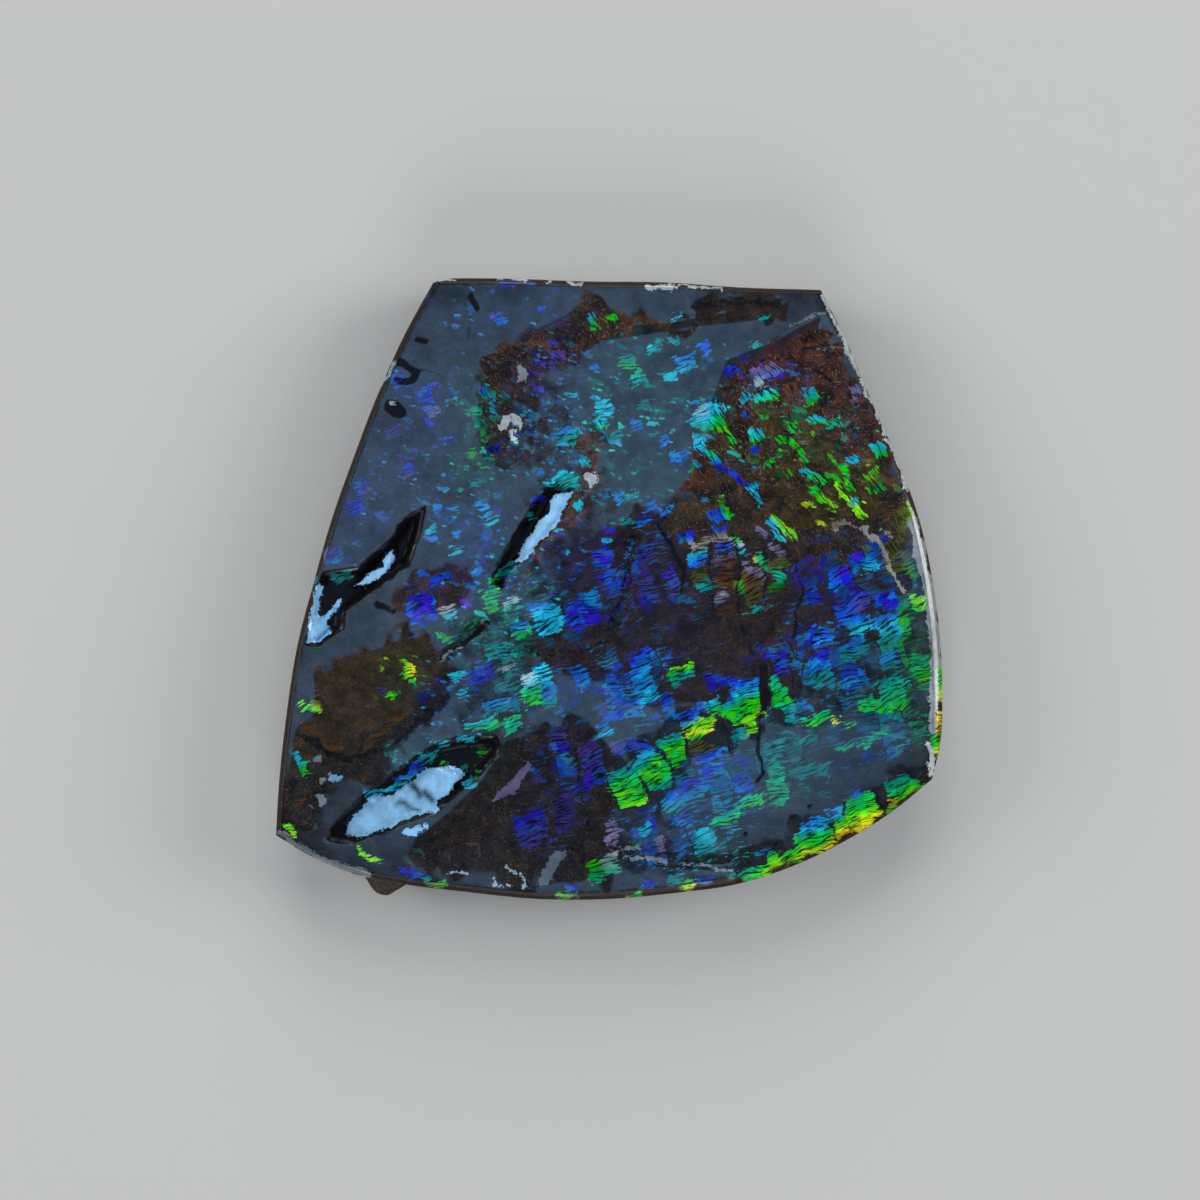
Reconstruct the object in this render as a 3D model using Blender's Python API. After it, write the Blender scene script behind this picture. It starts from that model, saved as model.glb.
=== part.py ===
"""Polished ammolite slab: a fossil nacre face on a ground matrix base, lying face up.

The stone is one closed body. Lengths are in millimetres until the mesh is made. +X runs across the face, +Y runs
up it, and +Z stands out of it. The origin is the middle of the flat base.
"""

import math

import bmesh
import bpy
import numpy as np

MM = 0.001

# Main sizes
FACE_HEIGHT = 7.5
CROWN_DROP = 0.45
BEVEL_DROP = 0.55
BASE_CHAMFER = 0.45
BASE_CHAMFER_HEIGHT = 0.5

# Mesh density
FACE_COLUMNS = 58
FACE_ROWS = 54
SPLINE_STEPS = 24

# Outer outline, seen from above, counter-clockwise from the lower left corner
BOTTOM_EDGE = (
    (-27.85, -20.6), (-24.4, -22.6), (-21.0, -23.9), (-17.0, -24.7), (-12.0, -25.3), (-6.0, -25.9),
    (0.0, -25.9), (5.5, -25.4), (10.5, -24.7), (15.5, -23.1), (20.0, -20.9), (23.8, -18.5), (27.0, -15.9),
)
RIGHT_EDGE = (
    (27.0, -15.9), (27.7, -12.8), (27.84, -8.5), (27.6, -3.5), (26.9, 1.5), (25.8, 6.2),
    (24.1, 10.8), (21.9, 15.8), (19.8, 20.8), (17.7, 25.0),
)
TOP_EDGE = ((17.7, 25.0), (11.0, 25.2), (5.0, 25.6), (-2.0, 25.7), (-9.0, 25.95), (-14.5, 25.97))
LEFT_EDGE = (
    (-14.5, 25.97), (-17.3, 20.8), (-19.5, 15.8), (-21.4, 10.8), (-23.1, 6.0), (-24.6, 0.8),
    (-26.0, -4.6), (-27.0, -10.9), (-27.6, -16.5), (-27.85, -20.6),
)

# Width of the bevel round the face at the corners, in the outline's order
BEVEL_AT_LOWER_LEFT = 0.55
BEVEL_AT_LOWER_RIGHT = 0.95
BEVEL_AT_UPPER_RIGHT = 0.45
BEVEL_AT_UPPER_LEFT = 0.6

# Wall of the matrix below the bevel: height, how far it draws in from the outline, and how rough it is
WALL_LEVELS = (
    (5.9, 0.1, 0.15), (4.5, 0.3, 0.55), (3.2, 0.35, 0.9), (1.9, 0.55, 1.1), (BASE_CHAMFER_HEIGHT, 0.7, 1.0),
)
WALL_NOISE_SPANS = (3.4, 1.5)
WALL_NOISE_SHARES = (0.7, 0.3)
WALL_NOISE_SEED = 7

# Rough lump of matrix that stands out below the lower left of the face
LUMP_CENTRE = (-18.8, -24.4)
LUMP_REACH = 2.3
LUMP_HALF_LENGTH = 3.0
LUMP_HEIGHT = 3.4
LUMP_HALF_HEIGHT = 2.6

# Broad hollows of the face, where the surface falls away from the polished swells
HOLLOW_SOFTNESS = 0.5
TOP_LEFT_HOLLOW = (
    (-10.6, 19.6), (-6.0, 22.2), (-1.5, 24.5), (0.4, 23.2), (5.0, 22.8), (10.0, 24.0), (14.3, 24.4),
    (13.6, 22.6), (6.5, 21.8), (2.3, 21.1), (-0.5, 20.7), (-2.4, 19.4), (-5.4, 18.8), (-5.6, 14.6),
    (-6.0, 11.2), (-8.4, 9.6), (-10.8, 10.8), (-11.3, 15.0),
)
UPPER_RIGHT_HOLLOW = (
    (17.9, 23.2), (14.0, 21.0), (9.8, 19.5), (8.5, 16.0), (8.0, 13.2), (7.2, 10.5), (6.0, 8.6), (9.0, 6.5),
    (13.5, 5.0), (19.0, 4.8), (25.0, 6.0), (24.6, 9.0), (22.2, 14.4), (19.6, 20.4),
)
MIDDLE_HOLLOW = (
    (-4.0, 3.2), (0.2, 5.6), (5.0, 6.6), (9.0, 5.6), (13.5, 4.2), (19.0, 3.8), (24.6, 4.4), (25.6, -0.6),
    (22.0, -3.4), (18.0, -5.4), (15.0, -8.2), (11.0, -9.0), (6.0, -10.2), (1.0, -9.0), (-3.0, -7.4),
    (-7.2, -6.2), (-7.6, -4.0), (-5.4, -1.0),
)
LEFT_HOLLOW = (
    (-24.6, -7.4), (-22.3, -5.8), (-17.5, -3.7), (-14.6, -4.6), (-12.9, -7.8), (-14.2, -10.4),
    (-17.6, -13.4), (-21.8, -15.0), (-23.8, -17.0), (-24.0, -20.2), (-26.2, -19.6), (-26.4, -13.6),
)
PIT_SIDE_HOLLOW = (
    (-19.0, -0.9), (-16.5, 1.2), (-14.0, 2.7), (-11.3, 2.2), (-12.4, -0.4), (-14.4, -2.6), (-18.4, -2.3),
)
BOTTOM_HOLLOW = (
    (-8.8, -12.6), (-5.6, -11.6), (-1.4, -11.2), (0.4, -13.4), (0.4, -18.0), (-0.6, -22.0), (-0.4, -25.0),
    (-9.0, -24.8), (-15.4, -23.9), (-17.2, -22.4), (-16.2, -20.8), (-13.6, -18.8), (-10.8, -15.8),
)
# Each hollow with its slope in degrees and its greatest depth
HOLLOWS = (
    (TOP_LEFT_HOLLOW, 11.0, 0.42),
    (UPPER_RIGHT_HOLLOW, 10.0, 0.75),
    (MIDDLE_HOLLOW, 7.5, 0.5),
    (LEFT_HOLLOW, 11.0, 0.5),
    (PIT_SIDE_HOLLOW, 11.0, 0.35),
    (BOTTOM_HOLLOW, 9.0, 0.55),
)

# Sharp-rimmed pits
UPPER_LEFT_PIT = (
    (-15.3, 7.0), (-15.8, 4.6), (-16.6, 2.2), (-19.2, 0.2), (-22.1, -2.0), (-22.2, -3.4), (-24.2, -4.8),
    (-25.2, -4.8), (-24.6, 0.2), (-23.8, 1.4), (-21.0, 1.8), (-18.2, 4.2), (-17.0, 6.0),
)
MIDDLE_PIT = (
    (-4.8, 9.0), (-2.8, 8.2), (-3.6, 6.4), (-5.0, 4.4), (-7.6, 2.2), (-9.0, -0.2), (-9.9, 0.2),
    (-9.3, 2.2), (-7.7, 4.8), (-6.2, 7.4),
)
LOWER_LEFT_PIT = (
    (-23.8, -21.0), (-22.8, -19.6), (-20.4, -17.2), (-18.3, -15.6), (-16.5, -14.3), (-14.2, -12.8),
    (-12.5, -12.4), (-9.5, -12.2), (-9.0, -13.5), (-11.2, -16.0), (-13.7, -18.0), (-16.0, -19.0),
    (-18.5, -20.2), (-21.4, -21.3),
)
# Each pit with its depth and the width of its wall
PITS = ((UPPER_LEFT_PIT, 0.75, 0.8), (MIDDLE_PIT, 0.65, 0.6), (LOWER_LEFT_PIT, 0.85, 0.9))
RIM_SNAP = 0.32

# Smooth sloping walls inside the pits: outline, the point where the wall meets the rim, and its slope in degrees
PIT_WALL_DIRECTION = (0.766, -0.643)
PIT_WALL_BLEND = 0.35
PIT_WALLS = (
    (((-22.1, -20.3), (-20.3, -17.9), (-16.8, -16.5), (-14.5, -14.8), (-12.1, -15.4), (-14.4, -18.6),
      (-17.0, -19.4), (-20.8, -20.7)), (-14.6, -18.7), 8.0),
    (((-4.6, 8.1), (-3.0, 8.0), (-4.2, 6.0), (-6.5, 3.2), (-7.9, 2.2), (-6.3, 5.0)), (-4.4, 5.6), 8.0),
    (((-21.6, 0.2), (-20.0, 1.4), (-18.3, 3.2), (-17.6, 3.4), (-18.6, 1.2), (-20.2, 0.2)), (-18.9, 1.0), 8.0),
    (((-24.9, -2.3), (-23.4, -3.0), (-24.3, -4.0), (-25.1, -4.6)), (-24.0, -4.1), 8.0),
)
PIT_WALL_LIP = 0.06

# Sharp creases between the cells of the face: route, width and depth
CREASES = (
    (((1.7, 3.5), (1.5, 0.5), (0.8, -2.2), (-0.8, -4.6), (-3.5, -5.5), (-6.8, -5.2)), 2.4, 0.3),
    (((15.0, -1.5), (12.6, -7.0), (12.4, -12.0)), 1.6, 0.22),
    (((-14.0, -5.8), (-12.8, -5.0), (-11.9, -4.0), (-10.5, -2.9)), 1.0, 0.3),
    (((-26.0, -12.4), (-22.0, -14.4), (-18.0, -13.4), (-15.0, -10.6), (-13.3, -9.0)), 1.8, 0.35),
    (((8.8, 16.0), (10.4, 12.4), (12.6, 8.6), (14.4, 5.2)), 1.6, 0.3),
    (((9.8, 19.4), (13.0, 19.3), (17.0, 18.5), (18.6, 17.0)), 1.4, 0.28),
    (((17.4, 11.6), (19.4, 8.6), (21.2, 6.0)), 1.4, 0.25),
    (((0.8, -22.0), (4.9, -22.8), (9.5, -23.0), (14.0, -21.7)), 1.0, 0.22),
    (((-17.8, 19.0), (-16.4, 18.3), (-17.2, 16.9), (-19.0, 16.6)), 1.2, 0.35),
)


def spline(points):
    """A smooth curve through the points, as many small steps."""
    p = np.array(points, float)
    gaps = np.linalg.norm(np.diff(p, axis=0), axis=1)
    t = np.concatenate(([0.0], np.cumsum(gaps)))
    slope = np.gradient(p, t, axis=0)
    out = [p[:1]]
    for i, gap in enumerate(gaps):
        s = np.linspace(0.0, 1.0, SPLINE_STEPS + 1)[1:, None]
        a, b = 2 * s**3 - 3 * s**2 + 1, s**3 - 2 * s**2 + s
        c, d = 3 * s**2 - 2 * s**3, s**3 - s**2
        out.append(a * p[i] + b * gap * slope[i] + c * p[i + 1] + d * gap * slope[i + 1])
    return np.concatenate(out)


def inward(curve):
    """Unit normals that point into the stone, along a counter-clockwise edge."""
    along = np.gradient(curve, axis=0)
    along /= np.linalg.norm(along, axis=1)[:, None]
    return np.stack((-along[:, 1], along[:, 0]), axis=1)


def evenly(curve, shares):
    """The curve read at the given shares of its length."""
    gaps = np.linalg.norm(np.diff(curve, axis=0), axis=1)
    t = np.concatenate(([0.0], np.cumsum(gaps)))
    t /= t[-1]
    return np.stack([np.interp(shares, t, curve[:, k]) for k in (0, 1)], axis=1)


def corner(a, a_in, a_width, b, b_in, b_width):
    """Where two edges meet once each has been moved in by its own width."""
    a_line, b_line = a + a_in * a_width, b + b_in * b_width
    a_dir = np.array((a_in[1], -a_in[0]))
    b_dir = np.array((b_in[1], -b_in[0]))
    cross = a_dir[0] * b_dir[1] - a_dir[1] * b_dir[0]
    gap = b_line - a_line
    return a_line + a_dir * (gap[0] * b_dir[1] - gap[1] * b_dir[0]) / cross


def edges():
    """The outer edges and the edges of the face, each bottom, right, top and left, counter-clockwise."""
    columns = np.linspace(0.0, 1.0, FACE_COLUMNS + 1)
    rows = np.linspace(0.0, 1.0, FACE_ROWS + 1)
    routes = (BOTTOM_EDGE, RIGHT_EDGE, TOP_EDGE, LEFT_EDGE)
    widths = (BEVEL_AT_LOWER_LEFT, BEVEL_AT_LOWER_RIGHT, BEVEL_AT_UPPER_RIGHT, BEVEL_AT_UPPER_LEFT)
    outer, inner = [], []
    for k, route in enumerate(routes):
        shares = columns if k % 2 == 0 else rows
        edge = evenly(spline(route), shares)
        width = widths[k] + (widths[(k + 1) % 4] - widths[k]) * shares
        outer.append(edge)
        inner.append(edge + inward(edge) * width[:, None])
    for k in range(4):
        n = (k + 1) % 4
        a_in, b_in = inward(outer[k])[-1], inward(outer[n])[0]
        point = corner(outer[k][-1], a_in, widths[n], outer[n][0], b_in, widths[n])
        inner[k][-1] = point
        inner[n][0] = point
    return outer, inner


def face_grid(inner):
    """Points of the face, spread between its four edges."""
    bottom, right, top, left = inner[0], inner[1], inner[2][::-1], inner[3][::-1]
    u = np.linspace(0.0, 1.0, FACE_COLUMNS + 1)[:, None, None]
    v = np.linspace(0.0, 1.0, FACE_ROWS + 1)[None, :, None]
    across = (1 - v) * bottom[:, None] + v * top[:, None]
    up = (1 - u) * left[None] + u * right[None]
    corners = (
        (1 - u) * (1 - v) * bottom[0] + u * (1 - v) * bottom[-1] + (1 - u) * v * top[0] + u * v * top[-1]
    )
    return across + up - corners


def depth_inside(points, outline):
    """Distance to the outline: positive inside it, negative outside."""
    x, y = points[..., 0], points[..., 1]
    nearest = np.full(x.shape, np.inf)
    inside = np.zeros(x.shape, bool)
    for (ax, ay), (bx, by) in zip(outline, outline[1:] + outline[:1]):
        dx, dy = bx - ax, by - ay
        t = np.clip(((x - ax) * dx + (y - ay) * dy) / (dx * dx + dy * dy), 0.0, 1.0)
        nearest = np.minimum(nearest, np.hypot(x - ax - t * dx, y - ay - t * dy))
        if ay != by:
            crosses = ((ay > y) != (by > y)) & (x < ax + (y - ay) * dx / dy)
            inside ^= crosses
    return np.where(inside, nearest, -nearest)


def distance_to(points, route):
    """Distance to an open route."""
    x, y = points[..., 0], points[..., 1]
    nearest = np.full(x.shape, np.inf)
    for (ax, ay), (bx, by) in zip(route, route[1:]):
        dx, dy = bx - ax, by - ay
        t = np.clip(((x - ax) * dx + (y - ay) * dy) / (dx * dx + dy * dy), 0.0, 1.0)
        nearest = np.minimum(nearest, np.hypot(x - ax - t * dx, y - ay - t * dy))
    return nearest


def ease(t):
    """A smooth step from 0 to 1."""
    t = np.clip(t, 0.0, 1.0)
    return t * t * (3 - 2 * t)


def face_relief(points):
    """Height of the face above or below its flat level."""
    x, y = points[..., 0], points[..., 1]
    z = -CROWN_DROP * ((x / 28.0) ** 2 + (y / 26.0) ** 2)
    for outline, slope, deepest in HOLLOWS:
        d = np.maximum(depth_inside(points, outline), 0.0)
        run = np.where(d < HOLLOW_SOFTNESS, d * d / (2 * HOLLOW_SOFTNESS), d - HOLLOW_SOFTNESS / 2)
        z = z - deepest * (1 - np.exp(-run * math.tan(math.radians(slope)) / deepest))
    for route, width, depth in CREASES:
        z = z - depth * np.maximum(1 - distance_to(points, route) / (width / 2), 0.0)
    level = z.copy()
    for outline, depth, wall in PITS:
        z = z - depth * ease(depth_inside(points, outline) / wall)
    toward = np.array(PIT_WALL_DIRECTION)
    for outline, rim, slope in PIT_WALLS:
        share = ease(depth_inside(points, outline) / PIT_WALL_BLEND + 0.5)
        run = (points - np.array(rim)) @ toward
        wall = level - PIT_WALL_LIP + math.tan(math.radians(slope)) * np.minimum(run, 0.0)
        z = z + (wall - z) * share
    return z


def settle_on_rims(grid):
    """Moves the grid's inner points that lie near a pit's rim onto it, so that the rim is crisp."""
    step = 0.02
    for outline, _, _ in PITS:
        inner = grid[1:-1, 1:-1]
        d = depth_inside(inner, outline)
        right = depth_inside(inner + (step, 0.0), outline) - depth_inside(inner - (step, 0.0), outline)
        up = depth_inside(inner + (0.0, step), outline) - depth_inside(inner - (0.0, step), outline)
        gradient = np.stack((right, up), axis=-1) / (2 * step)
        near = np.abs(d) < RIM_SNAP
        inner -= np.where(near, d, 0.0)[..., None] * gradient


def rough(x, y, span, seed):
    """Smooth noise between -1 and 1 whose lumps are about as wide as the span."""
    table = np.random.RandomState(seed).uniform(-1.0, 1.0, (64, 64))
    fx, fy = x / span + 1000.0, y / span + 1000.0
    ix, iy = np.floor(fx).astype(int), np.floor(fy).astype(int)
    tx, ty = ease(fx - ix), ease(fy - iy)
    a = table[ix % 64, iy % 64] * (1 - tx) + table[(ix + 1) % 64, iy % 64] * tx
    b = table[ix % 64, (iy + 1) % 64] * (1 - tx) + table[(ix + 1) % 64, (iy + 1) % 64] * tx
    return a * (1 - ty) + b * ty


def loop_of(parts):
    """The four edges joined into one closed loop, without repeated corners."""
    return np.concatenate([part[:-1] for part in parts])


def wall_ring(outline, normals, height, inset, roughness):
    """One ring of the matrix wall, with its broken surface and the lump at the lower left."""
    x, y = outline[:, 0] + height, outline[:, 1] - 2 * height
    noise = sum(
        share * rough(x, y, span, WALL_NOISE_SEED) for span, share in zip(WALL_NOISE_SPANS, WALL_NOISE_SHARES)
    )
    move = inset + roughness * (0.5 + 0.5 * noise)
    from_lump = np.hypot(outline[:, 0] - LUMP_CENTRE[0], outline[:, 1] - LUMP_CENTRE[1])
    lump = ease(1 - from_lump / LUMP_HALF_LENGTH) * ease(1.2 - abs(height - LUMP_HEIGHT) / LUMP_HALF_HEIGHT)
    ring = outline + normals * (move - LUMP_REACH * lump)[:, None]
    return np.column_stack((ring, np.full(len(ring), height)))


def slab_mesh():
    """The whole stone as one closed mesh."""
    outer, inner = edges()
    grid = face_grid(inner)
    settle_on_rims(grid)
    heights = FACE_HEIGHT + face_relief(grid)
    top = np.dstack((grid, heights))

    outline = loop_of(outer)
    before, after = np.roll(outline, 1, axis=0), np.roll(outline, -1, axis=0)
    tangent = after - before
    tangent /= np.linalg.norm(tangent, axis=1)[:, None]
    normals = np.stack((-tangent[:, 1], tangent[:, 0]), axis=1)

    bm = bmesh.new()
    at = [[bm.verts.new(top[i, j] * MM) for j in range(FACE_ROWS + 1)] for i in range(FACE_COLUMNS + 1)]
    for i in range(FACE_COLUMNS):
        for j in range(FACE_ROWS):
            bm.faces.new((at[i][j], at[i + 1][j], at[i + 1][j + 1], at[i][j + 1]))

    rim = [at[i][0] for i in range(FACE_COLUMNS)]
    rim += [at[FACE_COLUMNS][j] for j in range(FACE_ROWS)]
    rim += [at[i][FACE_ROWS] for i in range(FACE_COLUMNS, 0, -1)]
    rim += [at[0][j] for j in range(FACE_ROWS, 0, -1)]

    rim_height = np.array([v.co.z / MM for v in rim])
    rings = [np.column_stack((outline, rim_height - BEVEL_DROP))]
    rings += [wall_ring(outline, normals, *level) for level in WALL_LEVELS]
    foot = rings[-1].copy()
    foot[:, :2] += normals * BASE_CHAMFER
    foot[:, 2] = 0.0
    rings.append(foot)

    upper = rim
    for ring in rings:
        lower = [bm.verts.new(point * MM) for point in ring]
        for k in range(len(lower)):
            n = (k + 1) % len(lower)
            bm.faces.new((upper[n], upper[k], lower[k], lower[n]))
        upper = lower
    bm.faces.new(upper[::-1])

    bmesh.ops.recalc_face_normals(bm, faces=bm.faces)
    mesh = bpy.data.meshes.new("ammolite_slab")
    bm.to_mesh(mesh)
    bm.free()
    mesh.shade_smooth()
    mesh.set_sharp_from_angle(angle=math.radians(35.0))
    return mesh


def nacre_material():
    """Polished blue-grey nacre over brown matrix."""
    material = bpy.data.materials.new("ammolite")
    material.use_nodes = True
    shader = material.node_tree.nodes["Principled BSDF"]
    shader.inputs["Base Color"].default_value = (0.075, 0.1, 0.13, 1.0)
    shader.inputs["Roughness"].default_value = 0.18
    shader.inputs["Metallic"].default_value = 0.2
    return material


def main():
    for old in list(bpy.data.objects):
        bpy.data.objects.remove(old, do_unlink=True)
    slab = bpy.data.objects.new("ammolite_slab", slab_mesh())
    slab.data.materials.append(nacre_material())
    bpy.context.scene.collection.objects.link(slab)


main()
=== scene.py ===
"""Looks of a polished ammolite slab: crushed fossil nacre under a clear polish, on its broken matrix.

Design lengths are in millimetres, in the stone's own frame: +X across the face, +Y up it, +Z out of it.
Meshes are made in metres.
"""

from __future__ import annotations

import logging
import math
from dataclasses import dataclass
from enum import Enum

import bpy
import numpy as np
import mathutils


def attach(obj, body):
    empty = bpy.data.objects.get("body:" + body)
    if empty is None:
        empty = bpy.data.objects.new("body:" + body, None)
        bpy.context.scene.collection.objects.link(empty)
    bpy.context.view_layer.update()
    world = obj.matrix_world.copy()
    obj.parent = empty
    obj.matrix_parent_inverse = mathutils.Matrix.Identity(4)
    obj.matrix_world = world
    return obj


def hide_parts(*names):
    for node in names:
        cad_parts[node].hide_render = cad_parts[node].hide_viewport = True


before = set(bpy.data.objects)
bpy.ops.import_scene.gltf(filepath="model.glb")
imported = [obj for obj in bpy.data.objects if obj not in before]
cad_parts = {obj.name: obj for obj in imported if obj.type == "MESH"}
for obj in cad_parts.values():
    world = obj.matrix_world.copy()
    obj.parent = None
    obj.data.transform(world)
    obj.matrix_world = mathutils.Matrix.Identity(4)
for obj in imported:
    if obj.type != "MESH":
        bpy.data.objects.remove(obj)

MM = 0.001

# Stands in for zero where a value is divided by it
TINY = 1e-6

LOG = logging.getLogger("ammolite")

Point = tuple[float, float]
Route = tuple[Point, ...]
Colour = tuple[float, float, float]
Socket = bpy.types.NodeSocket

# The nacre's growth lines rise to the right by this many degrees
HATCH_TURN = 20.0

# Where the nacre is wrinkled, they fall instead
WRINKLE_TURN = -48.0


class Hue(Enum):
    """Colours that the nacre flashes in, those of the ground between the flashes, and those of the painted
    highlights.
    """

    VIOLET = (0.055, 0.045, 0.3)
    INDIGO = (0.018, 0.045, 0.5)
    BLUE = (0.008, 0.055, 0.6)
    AZURE = (0.006, 0.2, 0.72)
    CYAN = (0.01, 0.52, 0.75)
    TEAL = (0.0, 0.27, 0.27)
    SEA = (0.0, 0.5, 0.22)
    GREEN = (0.003, 0.55, 0.012)
    LIME = (0.2, 0.8, 0.005)
    YELLOW = (0.85, 0.85, 0.01)
    ORANGE = (0.7, 0.28, 0.005)
    AMBER = (0.14, 0.06, 0.014)
    OLIVE = (0.07, 0.08, 0.015)
    CREAM = (0.42, 0.38, 0.32)
    LILAC = (0.2, 0.17, 0.34)
    PALE = (0.4, 0.52, 0.6)
    # Painted highlight colours: the pale blue of the key light's reflection on the pit walls, and the white
    # of the glints
    GLASS_BLUE = (0.29, 0.6, 0.95)
    WHITE = (0.72, 0.78, 0.8)
    SHADOW = (0.012, 0.014, 0.018)
    SOOT = (0.003, 0.003, 0.004)
    BROWN = (0.03, 0.02, 0.01)
    RUST = (0.05, 0.017, 0.008)
    GOLDEN = (0.07, 0.031, 0.011)
    UMBER = (0.022, 0.014, 0.011)
    SLATE = (0.013, 0.012, 0.012)
    DUSK = (0.018, 0.012, 0.015)


# The tables below name the hues without their class
(
    VIOLET, INDIGO, BLUE, AZURE, CYAN, TEAL, SEA, GREEN, LIME, YELLOW, ORANGE, AMBER, OLIVE, CREAM, LILAC,
    PALE, GLASS_BLUE, WHITE, SHADOW, SOOT, BROWN, RUST, GOLDEN, UMBER, SLATE, DUSK,
) = Hue


class Grain(Enum):
    """How large the broken flakes of nacre are."""

    FINE = "fine"
    COARSE = "coarse"


FINE, COARSE = Grain


@dataclass(frozen=True)
class Hollow:
    """A broad hollow, where the face falls away from the polished swells."""

    outline: Route
    slope: float
    deepest: float


@dataclass(frozen=True)
class Pit:
    """A sharp-rimmed pit of the face."""

    outline: Route
    depth: float
    wall: float


@dataclass(frozen=True)
class PitWall:
    """A smooth sloping wall inside a pit, that meets the rim at one point."""

    outline: Route
    rim: Point
    slope: float


@dataclass(frozen=True)
class Crease:
    """A sharp valley between two parts of the face."""

    route: Route
    width: float
    depth: float


@dataclass(frozen=True)
class Cloud:
    """A region where loose flakes of one hue are scattered."""

    hue: Hue
    grain: Grain
    centre: Point
    reach: Point
    turn: float
    density: float


@dataclass(frozen=True)
class Ground:
    """The colour of the ground inside an outline, and how much it is crazed by fine fibres, which also sets
    how strongly its wrinkled sheets get painted shade and painted light.
    """

    hue: Hue
    outline: Route
    soft: float
    crazing: float


@dataclass(frozen=True)
class Clearing:
    """A part of the polish that is clearer than the rest, with less sheen."""

    outline: Route
    gloss: float
    soft: float = 1.0


def ease(t: np.ndarray) -> np.ndarray:
    """Returns a smooth step from 0 to 1."""
    t = np.clip(t, 0.0, 1.0)
    return t * t * (3 - 2 * t)


def cover(depth: np.ndarray, soft: float) -> np.ndarray:
    """Returns how far a shape with a soft edge covers each point, from its depth inside the edge."""
    return ease(depth / soft + 0.5)


def rough(x: np.ndarray, y: np.ndarray, span: float, seed: int) -> np.ndarray:
    """Makes smooth noise between -1 and 1.

    Args:
        x: First coordinate, in millimetres.
        y: Second coordinate, in millimetres.
        span: Width of one lump.
        seed: Which noise.

    Returns:
        The noise at each point.
    """
    table = np.random.RandomState(seed).uniform(-1.0, 1.0, (64, 64))
    fx, fy = x / span + 1000.0, y / span + 1000.0
    ix, iy = np.floor(fx).astype(int), np.floor(fy).astype(int)
    tx, ty = ease(fx - ix), ease(fy - iy)
    a = table[ix % 64, iy % 64] * (1 - tx) + table[(ix + 1) % 64, iy % 64] * tx
    b = table[ix % 64, (iy + 1) % 64] * (1 - tx) + table[(ix + 1) % 64, (iy + 1) % 64] * tx
    return a * (1 - ty) + b * ty


def segment_distance(points: np.ndarray, a: Point, b: Point) -> np.ndarray:
    """Measures how far points lie from a straight segment.

    Args:
        points: Places on the face.
        a: One end of the segment.
        b: Its other end.

    Returns:
        The distance from each point.
    """
    x, y = points[..., 0], points[..., 1]
    dx, dy = b[0] - a[0], b[1] - a[1]
    square = max(dx * dx + dy * dy, TINY)
    t = np.clip(((x - a[0]) * dx + (y - a[1]) * dy) / square, 0.0, 1.0)
    return np.hypot(x - a[0] - t * dx, y - a[1] - t * dy)


def distance_to(points: np.ndarray, route: Route) -> np.ndarray:
    """Measures how far points lie from an open route.

    Args:
        points: Places on the face.
        route: The route's corners.

    Returns:
        The distance from each point.
    """
    pairs = list(zip(route, route[1:])) or [(route[0], route[0])]
    nearest = segment_distance(points, *pairs[0])
    for a, b in pairs[1:]:
        nearest = np.minimum(nearest, segment_distance(points, a, b))
    return nearest


def depth_inside(points: np.ndarray, outline: Route) -> np.ndarray:
    """Measures how deep points lie inside a closed outline.

    Args:
        points: Places on the face.
        outline: The outline's corners.

    Returns:
        The distance to the outline, positive inside it and negative outside.
    """
    x, y = points[..., 0], points[..., 1]
    nearest = np.full(x.shape, np.inf)
    inside = np.zeros(x.shape, bool)
    for a, b in zip(outline, outline[1:] + outline[:1]):
        nearest = np.minimum(nearest, segment_distance(points, a, b))
        if a[1] != b[1]:
            crosses = x < a[0] + (y - a[1]) * (b[0] - a[0]) / (b[1] - a[1])
            inside ^= ((a[1] > y) != (b[1] > y)) & crosses
    return np.where(inside, nearest, -nearest)


TOP_LEFT_HOLLOW: Route = (
    (-10.6, 19.6), (-6.0, 22.2), (-1.5, 24.5), (0.4, 23.2), (5.0, 22.8), (10.0, 24.0), (14.3, 24.4),
    (13.6, 22.6), (6.5, 21.8), (2.3, 21.1), (-0.5, 20.7), (-2.4, 19.4), (-5.4, 18.8), (-5.6, 14.6),
    (-6.0, 11.2), (-8.4, 9.6), (-10.8, 10.8), (-11.3, 15.0),
)
UPPER_RIGHT_HOLLOW: Route = (
    (17.9, 23.2), (14.0, 21.0), (9.8, 19.5), (8.5, 16.0), (8.0, 13.2), (7.2, 10.5), (6.0, 8.6), (9.0, 6.5),
    (13.5, 5.0), (19.0, 4.8), (25.0, 6.0), (24.6, 9.0), (22.2, 14.4), (19.6, 20.4),
)
MIDDLE_HOLLOW: Route = (
    (-4.0, 3.2), (0.2, 5.6), (5.0, 6.6), (9.0, 5.6), (13.5, 4.2), (19.0, 3.8), (24.6, 4.4), (25.6, -0.6),
    (22.0, -3.4), (18.0, -5.4), (15.0, -8.2), (11.0, -9.0), (6.0, -10.2), (1.0, -9.0), (-3.0, -7.4),
    (-7.2, -6.2), (-7.6, -4.0), (-5.4, -1.0),
)
LEFT_HOLLOW: Route = (
    (-24.6, -7.4), (-22.3, -5.8), (-17.5, -3.7), (-14.6, -4.6), (-12.9, -7.8), (-14.2, -10.4),
    (-17.6, -13.4), (-21.8, -15.0), (-23.8, -17.0), (-24.0, -20.2), (-26.2, -19.6), (-26.4, -13.6),
)
PIT_SIDE_HOLLOW: Route = (
    (-19.0, -0.9), (-16.5, 1.2), (-14.0, 2.7), (-11.3, 2.2), (-12.4, -0.4), (-14.4, -2.6), (-18.4, -2.3),
)
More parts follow.
